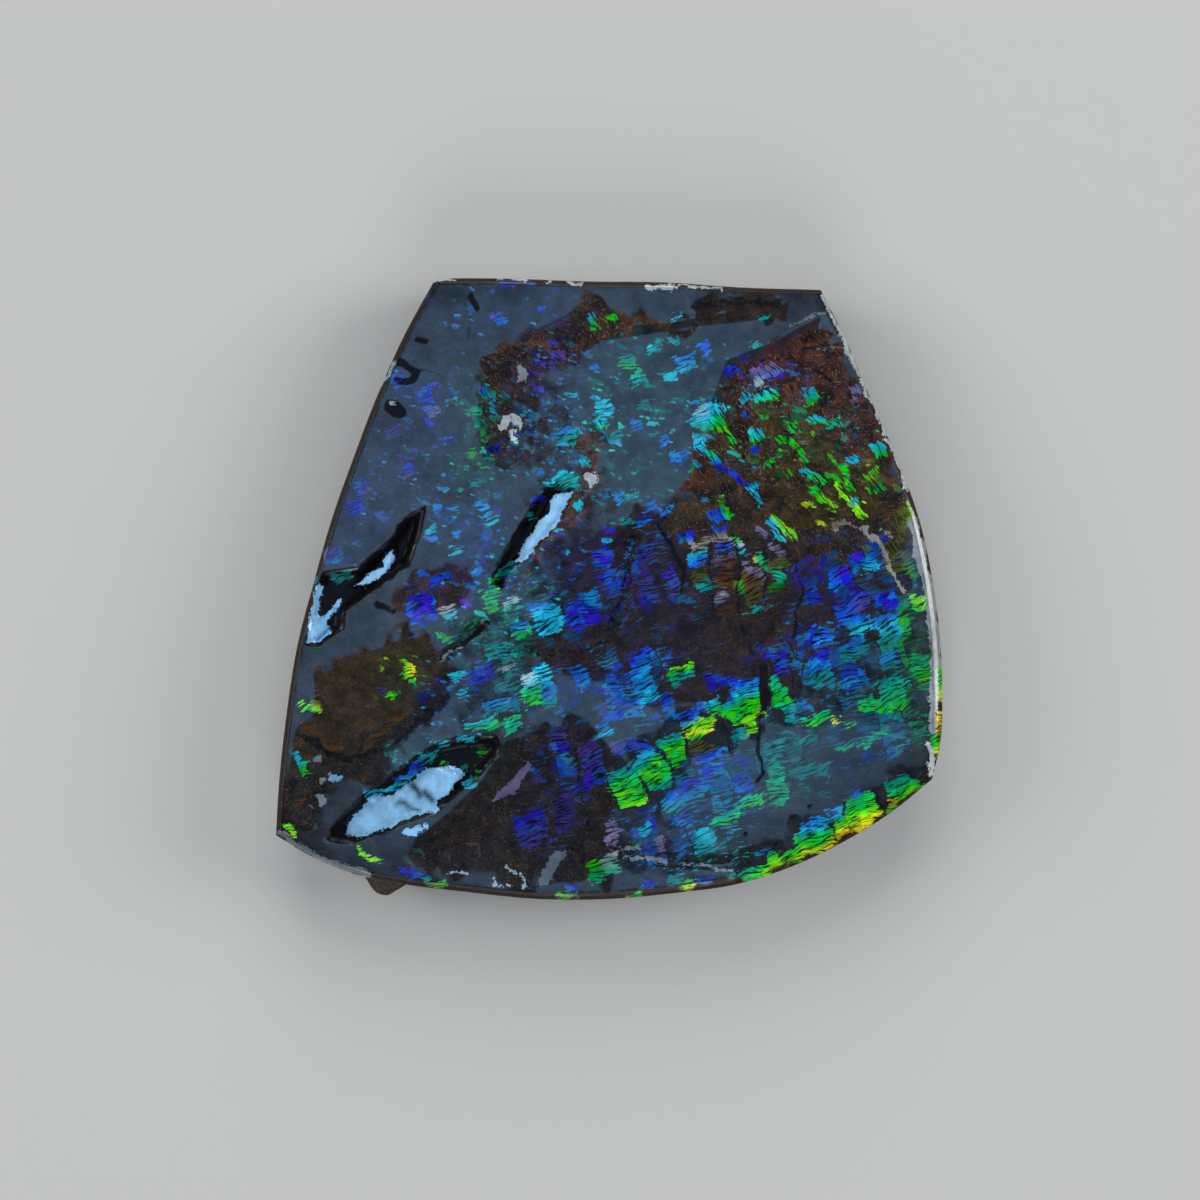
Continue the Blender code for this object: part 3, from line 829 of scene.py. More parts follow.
MIDDLE_RIGHT: Pieces = (
    Cell.box((AZURE, BLUE), 5.8, 3.6, 7.0, 4.7, 0.9),
    Cell.box((AZURE, CYAN), 6.3, 1.9, 8.3, 3.2, 0.9),
    Cell.box((CREAM,), 7.0, 3.3, 8.1, 4.3, 0.8),
    Cell.box((OLIVE, OLIVE), 6.9, 0.4, 8.3, 1.9, 0.9),
    Cell.box((TEAL,), 7.3, -0.1, 8.8, 0.6),
    Cell.box((BLUE,), 8.2, 4.5, 9.9, 5.4),
    Cell.box((AZURE, BLUE), 8.8, 3.0, 10.2, 3.9, 0.9),
    Cell.box((CREAM,), 8.3, 3.8, 10.2, 4.6, 0.8),
    Cell.box((AMBER, LILAC), 8.5, 1.8, 10.7, 3.0, 0.5),
    Cell.box((AMBER, AMBER), 8.9, -0.8, 10.8, 1.8, 0.6),
    Cell.box((LILAC, PALE), 8.6, -1.3, 9.9, -0.2, 0.6),
    Cell.box((AMBER,), 8.9, -2.2, 10.5, -1.3, 0.4),
    Sliver(GREEN, 0.3, ((10.6, 4.4), (10.8, 3.8)), 0.8),
    Cell.box((CYAN, PALE), 10.6, 2.8, 11.4, 3.8, 0.8),
    Cell.box((OLIVE, AMBER, AMBER), 11.1, -1.4, 13.1, 1.8, 0.8),
    Sliver(LILAC, 0.35, ((11.1, 2.2), (11.8, 1.9), (12.6, 1.1)), 1.0),
    Sliver(GREEN, 0.3, ((11.0, 0.5), (11.1, -0.2)), 0.7),
    Sliver(TEAL, 0.3, ((11.3, -2.0), (13.3, -1.6))),
    Cell.box((YELLOW,), 11.9, 2.4, 12.5, 2.9, 0.8),
    Sliver(SEA, 0.5, ((12.6, 2.8), (14.2, 0.9))),
    Cell.box((OLIVE, OLIVE), 13.2, 1.5, 15.0, 2.9),
    Cell.box((OLIVE, GREEN), 13.3, -0.8, 14.9, 0.8, 0.35),
    Sliver(LILAC, 0.35, ((12.6, 4.8), (13.6, 3.9), (14.3, 3.0)), 0.8),
    Sliver(LIME, 0.4, ((13.8, 6.0), (14.6, 4.9), (15.4, 4.3)), 0.9),
    Sliver(CYAN, 0.35, ((13.3, 5.6), (14.4, 4.3)), 0.8),
    Cell.box((AZURE, BLUE, BLUE), 20.0, 1.2, 21.4, 3.2),
    Cell.box((CYAN, AZURE), 21.2, 1.3, 22.4, 2.9),
    Cell.box((BLUE, BLUE), 18.0, -0.2, 20.2, 1.9),
    Cell.box((VIOLET, INDIGO), 20.2, -1.8, 21.7, 0.2),
    Cell.box((BLUE,), 16.2, -1.4, 17.8, 0.4, 0.7),
    Cell.box((AZURE,), 3.0, 6.6, 4.0, 7.5, 0.9),
    Cell.box((AZURE,), 4.1, 6.2, 5.3, 6.8, 0.9),
    Cell.box((AZURE,), 0.4, 7.0, 1.3, 8.1, 0.9),
    Cell.box((AZURE,), -0.6, 7.5, 0.0, 8.1, 0.8),
    Cell.box((TEAL,), 1.4, 7.3, 2.5, 8.0),
    Cell.box((TEAL,), 1.1, 5.3, 2.1, 5.9),
    Cell.box((BLUE, BLUE), 2.3, 5.0, 3.7, 5.9),
    Cell.box((VIOLET, INDIGO), 2.4, 2.2, 3.9, 4.2, 0.6),
    Cell.box((INDIGO, VIOLET), 2.2, -1.6, 3.9, 1.0, 0.6),
    Cell.box((VIOLET, INDIGO), 4.6, -0.6, 5.9, 1.6, 0.8),
    Cell.box((BLUE,), 8.4, 5.5, 9.6, 6.5, 0.9),
    Cell.box((BLUE, INDIGO), -1.6, 1.7, 0.2, 3.6),
    Cell.box((BLUE,), -1.0, 0.2, 0.4, 1.5, 0.8),
)

LEFT_MIDDLE: Pieces = (
    Cell.box((GREEN, SEA), -10.6, -2.0, -9.0, 0.2, 0.9),
    Cell.box((SEA, PALE), -8.6, -1.9, -7.1, -0.5, 0.8),
    Cell((CYAN, CYAN, AZURE),
         ((-6.9, -1.3), (-4.6, -0.9), (-3.6, -2.7), (-4.1, -3.5), (-5.7, -3.8))),
    Cell.box((GREEN, AZURE), -8.3, -4.2, -6.4, -2.6, 0.9),
    Cell.box((TEAL, TEAL), -10.3, -6.2, -8.0, -4.4, 0.9),
    Cell.box((PALE, TEAL), -9.3, -7.1, -7.8, -6.0, 0.5),
    Cell.box((BLUE,), -11.9, -8.1, -9.3, -6.3, 0.7),
    Cell.box((CYAN,), -13.2, -7.8, -12.1, -6.8, 0.7),
    Cell.box((CYAN,), -12.6, -9.1, -11.9, -8.3, 0.7),
    Cell.box((TEAL, AZURE), -10.7, -10.5, -7.4, -8.9, 0.8),
    Cell.box((SEA, SEA), -9.0, -12.2, -7.0, -10.5, 0.9),
    Cell.box((GREEN, CYAN), -12.2, -11.9, -9.4, -10.7, 0.8),
    Cell((CYAN, PALE), ((-7.3, -7.4), (-6.0, -7.0), (-5.7, -7.8), (-7.0, -8.1))),
    Cell((CYAN, CYAN), ((-6.2, -6.6), (-5.1, -6.3), (-4.6, -7.7), (-5.6, -8.0))),
    Cell.box((GREEN, GREEN, SEA), -7.2, -10.1, -5.4, -7.9),
    Cell.box((TEAL, AZURE), -5.6, -9.9, -4.4, -8.0, 0.8),
    Cell((AZURE, BLUE), ((-3.3, -6.6), (-2.4, -6.3), (-1.2, -7.6), (-2.2, -8.8)), 0.9),
    Cell.box((BLUE, BLUE), -17.0, -3.1, -14.3, -0.1, 0.9),
    Cell.box((CYAN, CREAM), -14.1, -2.8, -12.5, -1.1, 0.7),
    Cell.box((GREEN,), -14.2, -4.7, -13.2, -3.3, 0.7),
    Cell.box((VIOLET,), -17.0, -4.1, -16.0, -3.3, 0.8),
    Cell.box((BLUE,), -15.0, 0.4, -13.2, 1.6, 0.7),
    Cell.box((VIOLET, BLUE), -8.0, -21.9, -4.9, -18.2, 0.55),
    Cell.box((VIOLET,), -4.9, -20.5, -2.7, -16.8, 0.4),
    Cell.box((BLUE, VIOLET), -4.9, -14.0, -3.2, -11.7, 0.7),
    Cell.box((BLUE, VIOLET), -2.6, -16.8, -0.2, -12.4, 0.6),
    Cell.box((BLUE,), -3.6, -25.3, -2.7, -24.6, 0.8),
    Sliver(GREEN, 0.35, ((-4.1, -25.8), (-2.8, -25.8))),
    Sliver(BLUE, 0.4, ((-17.3, -23.4), (-15.0, -24.1))),
    Cell.box((GREEN,), -15.1, -24.9, -13.5, -24.2),
    Cell((LIME,), ((-21.3, -21.6), (-20.9, -21.5), (-19.4, -22.8), (-20.4, -22.6))),
    Cell((LIME,), ((-27.2, -19.7), (-26.6, -19.8), (-26.0, -20.8), (-26.6, -20.7))),
)

LEFT: Pieces = (
    Cell.box((AMBER, AMBER), -25.0, -10.0, -23.9, -8.1),
    Cell((LIME,), ((-25.6, -9.7), (-24.2, -9.8), (-24.1, -10.3), (-25.5, -10.2))),
    Sliver(AMBER, 0.22,
           ((-25.8, -10.8), (-22.1, -13.7), (-20.4, -13.5), (-19.4, -12.2), (-16.9, -10.3)), 0.5),
    Sliver(GREEN, 0.45, ((-17.2, -6.0), (-16.8, -6.5), (-17.0, -7.0), (-16.4, -7.9))),
    Cell((YELLOW,), ((-17.0, -6.3), (-16.5, -6.4), (-16.4, -7.2), (-16.8, -7.2)), 0.9),
    Cell.box((GREEN,), -18.4, -9.0, -17.4, -8.3, 0.9),
    Cell.box((VIOLET,), -19.6, -8.8, -18.6, -8.0, 0.9),
    Cell((GREEN, CYAN), ((-26.4, -13.9), (-25.9, -13.9), (-25.0, -15.2), (-25.4, -15.5)), 0.9),
    Cell.box((AMBER,), -26.1, -18.2, -25.4, -17.6, 0.8),
    Cell.box((CYAN,), -20.4, -17.6, -19.2, -16.7, 0.9),
    Cell((CYAN, CYAN, AZURE),
         ((-19.2, -17.0), (-17.6, -15.7), (-16.1, -15.3), (-17.5, -16.8))),
    Cell((TEAL, CYAN), ((-16.3, -15.1), (-15.6, -13.8), (-14.5, -13.4), (-14.7, -14.6)), 0.9),
    Cell.box((CYAN,), -14.5, -13.3, -13.4, -12.6, 0.9),
    Cell.box((CYAN,), -12.6, -13.0, -11.4, -12.3, 0.9),
    Cell.box((BLUE,), -16.4, -15.4, -15.5, -14.6),
    Cell.box((GREEN,), -14.0, -14.7, -13.4, -14.1, 0.9),
    Cell.box((GREEN,), -10.9, -13.9, -10.2, -13.2, 0.6),
    Cell.box((GREEN,), -11.3, -15.7, -10.6, -15.0, 0.6),
    Cell.box((TEAL,), -12.8, -15.5, -11.8, -14.7, 0.9),
    Cell.box((CYAN,), -12.1, -16.6, -11.3, -15.9, 0.8),
    Cell.box((TEAL, TEAL), -23.0, 0.6, -21.6, 1.6),
    Cell.box((TEAL,), -24.9, 0.4, -23.9, 1.2, 0.9),
    Cell.box((AZURE, VIOLET), -23.9, 2.0, -22.3, 3.7, 0.5),
)

UPPER_RIGHT: Pieces = (
    Cell((SEA, CYAN, CYAN), ((6.4, 13.9), (7.6, 15.3), (9.7, 15.4), (9.3, 14.0), (7.6, 13.2))),
    Cell.box((PALE,), 7.0, 14.4, 8.3, 15.1, 0.8),
    Cell.box((GREEN,), 8.6, 13.2, 9.7, 14.2, 0.9),
    Sliver(GREEN, 0.4, ((9.4, 13.2), (10.5, 12.2)), 0.9),
    Sliver(CYAN, 0.4, ((7.1, 12.6), (8.2, 11.6), (8.8, 10.7)), 0.9),
    Sliver(BLUE, 0.45, ((8.8, 10.7), (9.4, 10.0), (10.9, 9.2), (11.9, 8.4))),
    Sliver(CYAN, 0.4, ((11.9, 8.4), (12.8, 7.0)), 0.8),
    Cell.box((GREEN,), 8.1, 11.2, 8.8, 11.7, 0.8),
    Cell.box((BLUE,), 9.6, 18.1, 10.8, 18.8),
    Cell.box((INDIGO, LILAC), 12.0, 17.4, 14.6, 18.8),
    Cell.box((PALE,), 12.1, 16.7, 13.0, 17.5, 0.7),
    Cell.box((GREEN, CYAN), 12.0, 15.7, 14.3, 16.7),
    Cell.box((CYAN,), 10.9, 15.6, 11.9, 16.6, 0.9),
    Cell.box((AMBER,), 14.8, 16.1, 16.1, 17.3, 0.9),
    Cell.box((GREEN, CYAN), 16.4, 15.3, 17.5, 16.7, 0.8),
    Cell.box((LILAC,), 20.0, 15.9, 21.1, 17.1, 0.7),
    Cell.box((GREEN, CYAN), 11.9, 12.3, 13.0, 13.5),
    Cell.box((GREEN,), 15.0, 13.2, 15.9, 14.0),
    Cell.box((GREEN, CYAN), 16.6, 13.6, 18.2, 14.5),
    Cell.box((SEA,), 18.4, 13.5, 19.5, 14.3),
    Cell.box((GREEN,), 14.0, 12.1, 14.8, 12.9),
    Sliver(GREEN, 0.4, ((15.0, 12.4), (15.6, 11.8), (16.7, 10.9)), 0.9),
    Cell.box((BLUE,), 11.7, 11.2, 12.4, 11.9, 0.9),
    Sliver(GREEN, 0.45, ((18.6, 11.1), (19.3, 10.3), (19.8, 9.8))),
    Sliver(GREEN, 0.4, ((19.8, 9.8), (20.2, 8.4))),
    Sliver(CYAN, 0.4, ((16.3, 10.0), (17.0, 9.4)), 0.8),
    Sliver(GREEN, 0.45, ((17.0, 9.4), (17.7, 8.9))),
    Sliver(GREEN, 0.55, ((17.0, 8.2), (17.9, 7.2))),
    Sliver(LIME, 0.45, ((18.0, 7.6), (18.8, 7.0))),
    Sliver(LIME, 0.45, ((19.1, 8.4), (19.8, 7.7), (20.8, 6.6), (21.1, 6.0))),
    Cell.box((CYAN,), 20.1, 7.1, 20.9, 7.7, 0.8),
    Cell.box((CYAN,), 20.0, 10.6, 21.0, 11.2, 0.8),
    Cell.box((GREEN, OLIVE, LIME), 21.2, 7.8, 23.1, 10.1, 0.7),
    Cell.box((GREEN, CYAN), 21.9, 10.9, 23.1, 12.2, 0.9),
    Sliver(GREEN, 0.5, ((9.4, 7.4), (10.0, 6.0)), 0.9),
    Cell.box((CREAM,), 18.6, 5.1, 20.0, 5.7, 0.6),
    Cell.box((GREEN,), 13.2, 10.2, 13.8, 10.7, 0.8),
    Cell.box((GREEN,), 14.9, 9.4, 15.5, 10.2, 0.7),
    Cell.box((OLIVE, AMBER), 18.4, 14.8, 20.4, 15.6, 0.6),
    Cell.box((INDIGO,), 11.2, 14.4, 12.0, 15.1, 0.8),
)

UPPER_MIDDLE: Pieces = (
    Cell.box((CYAN,), 5.0, 22.5, 6.1, 23.0, 0.9),
    Cell.box((GREEN,), -0.4, 22.2, 0.5, 22.8, 0.8),
    Cell.box((GREEN, CYAN), -2.0, 21.7, -1.0, 23.0, 0.8),
    Cell.box((TEAL,), 12.6, 22.4, 13.4, 22.8),
    Cell.box((TEAL, CYAN), 3.2, 19.6, 4.4, 20.4, 0.9),
    Cell.box((TEAL,), 5.0, 20.4, 6.0, 21.2),
    Cell((AZURE, AZURE), ((6.9, 20.4), (8.5, 20.5), (8.2, 19.4))),
    Cell.box((CYAN, AZURE), 5.7, 18.0, 7.3, 19.6, 0.8),
    Cell.box((CYAN,), 4.5, 17.1, 5.7, 18.0, 0.8),
    Cell.box((GREEN, TEAL), 1.0, 18.4, 2.2, 19.8, 0.8),
    Cell.box((TEAL, SEA), 1.7, 16.7, 3.0, 18.4, 0.9),
    Cell.box((TEAL,), 11.9, 20.2, 12.9, 20.8),
    Cell.box((AZURE,), 2.0, 13.2, 3.0, 14.2, 0.8),
    Cell.box((AZURE,), 4.3, 12.0, 5.2, 12.8, 0.8),
    Cell.box((AZURE,), 5.1, 10.5, 6.5, 11.5, 0.8),
    Cell.box((SEA,), 6.6, 9.7, 7.4, 10.3, 0.8),
    Cell.box((CYAN, CYAN), -1.3, 14.4, 0.4, 15.8),
    Cell.box((SEA, CYAN), -1.2, 13.4, -0.1, 14.3),
    Cell((TEAL, TEAL, AZURE), ((-4.8, 12.4), (-3.9, 13.4), (-2.4, 13.1), (-2.9, 11.9))),
    Cell.box((TEAL,), 0.0, 12.5, 1.0, 13.2, 0.9),
    Cell.box((VIOLET,), -4.8, 19.0, -3.8, 19.8, 0.9),
    Cell.box((BLUE,), -1.7, 18.2, -0.9, 18.8, 0.9),
    Cell.box((CYAN,), -3.4, 15.9, -2.6, 16.5, 0.7),
    Cell.box((TEAL,), 2.6, 15.0, 3.6, 15.8, 0.8),
    Cell((TEAL, TEAL, CYAN), ((-5.2, 8.6), (-4.2, 9.7), (-2.5, 9.6), (-2.6, 8.2), (-4.0, 8.0))),
    Cell.box((BLUE,), -6.4, 7.1, -5.5, 8.0),
    Cell.box((CYAN,), -2.4, 10.3, -1.5, 11.1, 0.9),
    Cell.box((CYAN,), -2.9, 6.2, -2.2, 7.2, 0.7),
    Cell.box((TEAL, TEAL), -9.4, 0.6, -7.6, 2.3),
    Cell.box((GREEN,), -10.0, 0.4, -9.2, 1.0, 0.9),
    Cell.box((TEAL,), -7.0, 5.6, -6.2, 6.4, 0.9),
)

UPPER_LEFT: Pieces = (
    Cell((LILAC, BLUE, BLUE), ((-16.1, 16.4), (-15.2, 17.0), (-13.9, 14.6), (-14.9, 14.0)), 0.8),
    Cell.box((BLUE,), -13.9, 12.3, -13.1, 12.9, 0.8),
    Cell.box((VIOLET, BLUE), -17.3, 9.3, -16.4, 10.4, 0.8),
    Cell.box((VIOLET, BLUE), -21.1, 7.6, -20.0, 9.1, 0.7),
    Cell.box((BLUE,), -21.9, 6.0, -20.6, 7.4, 0.7),
    Cell.box((AZURE,), -9.6, 22.1, -8.4, 23.1, 0.7),
    Cell.box((BLUE,), -6.2, 23.1, -5.4, 23.7, 0.8),
    Cell.box((AZURE,), -11.0, 16.1, -10.1, 17.0, 0.8),
    Sliver(CYAN, 0.35, ((-10.4, 16.0), (-9.6, 15.8), (-9.6, 15.0)), 0.5),
    Cell.box((SEA,), -11.5, 14.4, -10.5, 15.4, 0.7),
    Cell.box((TEAL,), -11.0, 13.6, -10.4, 14.2, 0.8),
    Cell.box((GREEN,), -11.8, 11.0, -11.2, 11.6, 0.5),
    Cell.box((VIOLET, BLUE), -10.2, 11.0, -9.0, 12.0, 0.5),
    Sliver(GREEN, 0.25, ((-10.7, 10.5), (-9.7, 9.4)), 0.5),
    Cell.box((TEAL,), -11.6, 8.5, -10.9, 9.1, 0.7),
    Cell.box((AZURE,), -11.1, 6.0, -9.9, 7.4, 0.8),
    Cell.box((CYAN,), -10.3, 5.3, -9.0, 6.2, 0.7),
    Cell.box((TEAL, AZURE), -13.3, 6.0, -12.4, 7.4),
    Cell.box((AZURE,), -14.5, 6.4, -13.8, 7.0, 0.8),
    Cell.box((AZURE,), -13.1, 4.3, -12.3, 5.0, 0.8),
    Cell.box((CYAN,), -13.1, 2.7, -12.3, 3.3, 0.8),
    Cell.box((CYAN,), -15.2, 4.7, -14.4, 5.3, 0.7),
    Cell.box((AZURE,), -11.4, 1.0, -10.6, 1.8, 0.8),
    Cell.box((BLUE,), -18.1, 16.7, -16.9, 18.0, 0.9),
    Cell.box((VIOLET,), -15.3, 23.8, -14.6, 24.7, 0.7),
    Cell.box((BLUE,), -9.3, 25.3, -6.3, 25.7, 0.6),
    Cell.box((VIOLET,), -18.6, 12.2, -17.4, 13.4, 0.6),
)

FLASHES: Pieces = (
    *UPPER_LEFT, *UPPER_MIDDLE, *UPPER_RIGHT, *LEFT, *LEFT_MIDDLE, *MIDDLE_RIGHT,
    *MIDDLE_FOOT, *LOWER_RIGHT, *LOWER_RIM, *RIGHT_EDGE, *GREEN_BAND,
)

# Painted highlights and painted reflections of the lamps, laid into the base colour over only a little
# metallic lustre
PAINTED_HIGHLIGHTS: Pieces = (
    # The lower left pit's smooth wall: its slope catches the key light in the polish, and the pale blue of
    # that reflection is painted on it too, with dark breaks
    Cell((GLASS_BLUE,), (
        (-22.1, -20.5), (-21.3, -18.8), (-20.0, -17.6), (-18.1, -17.2), (-16.9, -16.3), (-15.9, -15.5),
        (-15.0, -15.0), (-13.0, -14.5), (-12.1, -15.5), (-12.8, -16.3), (-14.2, -17.4), (-14.2, -18.5),
        (-15.2, -18.8), (-17.7, -19.5), (-20.0, -20.6), (-21.0, -20.7),
    )),
    Sliver(GLASS_BLUE, 0.4, ((-16.9, -20.5), (-15.2, -19.9))),
    Sliver(SOOT, 0.6, ((-16.6, -16.5), (-15.9, -17.2))),
    Sliver(SOOT, 0.5, ((-15.3, -16.9), (-14.7, -17.7))),
    Sliver(SOOT, 0.35, ((-17.4, -17.8), (-16.0, -18.6))),
    # The middle pit's smooth wall, with the same painted reflection
    Cell((GLASS_BLUE,), (
        (-7.9, 2.2), (-7.0, 3.9), (-6.3, 5.1), (-5.5, 6.0), (-4.8, 7.0), (-4.6, 7.8), (-3.0, 8.0),
        (-3.6, 7.0), (-4.1, 5.8), (-5.0, 4.7), (-6.1, 3.5), (-7.0, 2.6),
    )),
    # The upper left pit's smooth walls, with the same painted reflection
    Cell((GLASS_BLUE,), (
        (-21.3, 0.2), (-20.0, 1.4), (-18.8, 2.2), (-18.3, 3.2), (-18.0, 2.4), (-18.8, 1.3), (-20.0, 0.6),
    )),
    Cell((GLASS_BLUE,), ((-24.5, 0.4), (-23.9, 0.2), (-24.2, -2.1), (-24.7, -2.0)), 0.9),
    Cell((GLASS_BLUE,), ((-25.2, -2.2), (-24.2, -2.1), (-23.3, -2.9), (-24.2, -4.3), (-25.0, -4.6))),
    Sliver(GLASS_BLUE, 0.35, ((-23.9, -2.7), (-22.4, -0.8))),
    Sliver(GLASS_BLUE, 0.4, ((-24.0, -4.0), (-23.4, -3.4))),
    # The bright right side of the rim and the crack that leaves it, as painted highlights
    Cell((WHITE,), (
        (25.0, 6.6), (25.9, 5.8), (27.1, 0.6), (27.6, -2.0), (27.8, -6.2), (26.9, -6.2), (26.6, -2.0),
        (26.1, 0.6), (25.3, 3.6),
    ), 0.38),
    Sliver(WHITE, 0.6, ((27.3, -6.0), (27.1, -8.3), (26.9, -10.0), (26.9, -11.8)), 0.45),
    Sliver(WHITE, 0.45, ((26.5, -13.1), (26.8, -13.9), (26.7, -15.2)), 0.8),
    Sliver(WHITE, 0.34, ((17.8, 24.6), (20.0, 20.0), (22.5, 14.4), (25.0, 8.5)), 0.6),
    Sliver(CREAM, 0.32, ((21.3, 5.1), (22.1, 4.1), (22.9, 3.1), (23.9, 1.0), (24.8, -0.3)), 0.75),
    Sliver(CREAM, 0.25, ((22.5, 4.9), (23.5, 4.1)), 0.6),
    Sliver(CREAM, 0.3, ((18.7, 5.3), (19.9, 5.4), (21.2, 5.1)), 0.5),
    # Painted glints on the top bevel and at its corner
    Sliver(WHITE, 0.35, ((-15.2, 25.0), (-14.6, 25.95), (-13.2, 25.9)), 0.8),
    Sliver(WHITE, 0.25, ((-9.4, 25.8), (-9.0, 25.8)), 0.5),
    Sliver(WHITE, 0.28, ((-8.2, 25.8), (-7.0, 25.8)), 0.6),
    Sliver(WHITE, 0.25, ((-5.3, 25.6), (-4.9, 25.6)), 0.6),
    Sliver(WHITE, 0.25, ((-3.4, 25.6), (-2.2, 25.6)), 0.6),
    Sliver(WHITE, 0.35, ((3.2, 25.4), (5.0, 25.3)), 0.6),
    Sliver(WHITE, 0.25, ((5.0, 25.3), (9.6, 25.1)), 0.6),
    Sliver(PALE, 0.35, ((-17.8, 19.0), (-18.9, 16.9)), 0.7),
    # Loose pale patches and pale lines along the cracks, painted as highlights
    Cell((PALE,), ((-18.5, 15.7), (-17.9, 15.4), (-17.8, 14.9), (-18.4, 15.2)), 0.7),
    Cell((PALE,), ((-7.9, 18.7), (-7.2, 18.6), (-6.9, 17.6), (-7.5, 17.3)), 0.5),
    Cell((WHITE,), ((-9.4, 14.0), (-8.9, 14.6), (-8.2, 14.3), (-8.3, 13.6), (-9.2, 13.3)), 0.6),
    Cell((WHITE,), ((-8.0, 14.5), (-7.4, 14.2), (-7.4, 13.3), (-8.1, 13.6)), 0.6),
    Cell((WHITE,), ((-8.5, 13.2), (-7.7, 13.1), (-8.1, 12.6)), 0.6),
    Cell((WHITE,), ((-8.0, 12.7), (-7.5, 12.6), (-7.5, 12.0), (-7.9, 12.1)), 0.8),
    Cell((WHITE,), ((-2.1, 9.7), (-1.4, 10.0), (-0.9, 9.2), (-1.5, 8.5)), 0.6),
    Cell((PALE,), ((-24.3, -15.5), (-23.5, -15.6), (-23.6, -16.1), (-24.2, -16.2)), 0.5),
    Cell((GLASS_BLUE,), ((-23.3, -15.4), (-22.3, -15.3), (-22.5, -15.9), (-23.2, -15.9)), 0.7),
    Cell((PALE,), ((-24.5, -17.2), (-23.5, -17.3), (-23.7, -17.8), (-24.4, -17.9)), 0.5),
    Sliver(PALE, 0.25, ((-24.9, -18.1), (-24.7, -18.5)), 0.5),
    Cell((PALE,), ((-24.8, -14.0), (-24.0, -13.9), (-23.9, -14.6), (-24.6, -14.7)), 0.3),
    Cell((LILAC,), ((-9.9, -18.0), (-8.6, -16.3), (-6.8, -14.3), (-6.5, -14.9), (-8.0, -17.4)), 0.65),
    Cell((PALE,), ((-6.0, -24.5), (-4.5, -21.7), (-3.7, -21.9), (-4.2, -23.4), (-5.1, -24.5)), 0.25),
    Sliver(PALE, 0.26, ((-13.2, -23.6), (-11.8, -23.6)), 0.8),
    Sliver(PALE, 0.24, ((-10.0, -24.1), (-9.5, -24.9), (-8.2, -24.9)), 0.8),
    Sliver(PALE, 0.24, ((-8.5, -23.1), (-7.3, -23.9), (-7.0, -24.8)), 0.8),
    Sliver(PALE, 0.28, ((1.0, -21.7), (2.5, -21.8)), 0.5),
    Sliver(PALE, 0.28, ((1.2, -22.4), (4.8, -22.8)), 0.5),
    Sliver(PALE, 0.28, ((5.9, -22.9), (10.2, -23.4)), 0.5),
    Sliver(PALE, 0.18, ((-13.9, -5.9), (-12.3, -4.8)), 0.5),
    Sliver(CREAM, 0.2, ((15.3, 22.0), (18.2, 23.2)), 0.4),
    Sliver(CREAM, 0.2, ((17.3, 20.0), (19.5, 20.0)), 0.35),
    # The light lower left rim, a painted reflection on the bevel
    Sliver(PALE, 0.5,
           ((-27.5, -20.5), (-26.0, -21.5), (-24.0, -22.5), (-22.0, -23.2), (-20.2, -24.0)), 0.45),
)

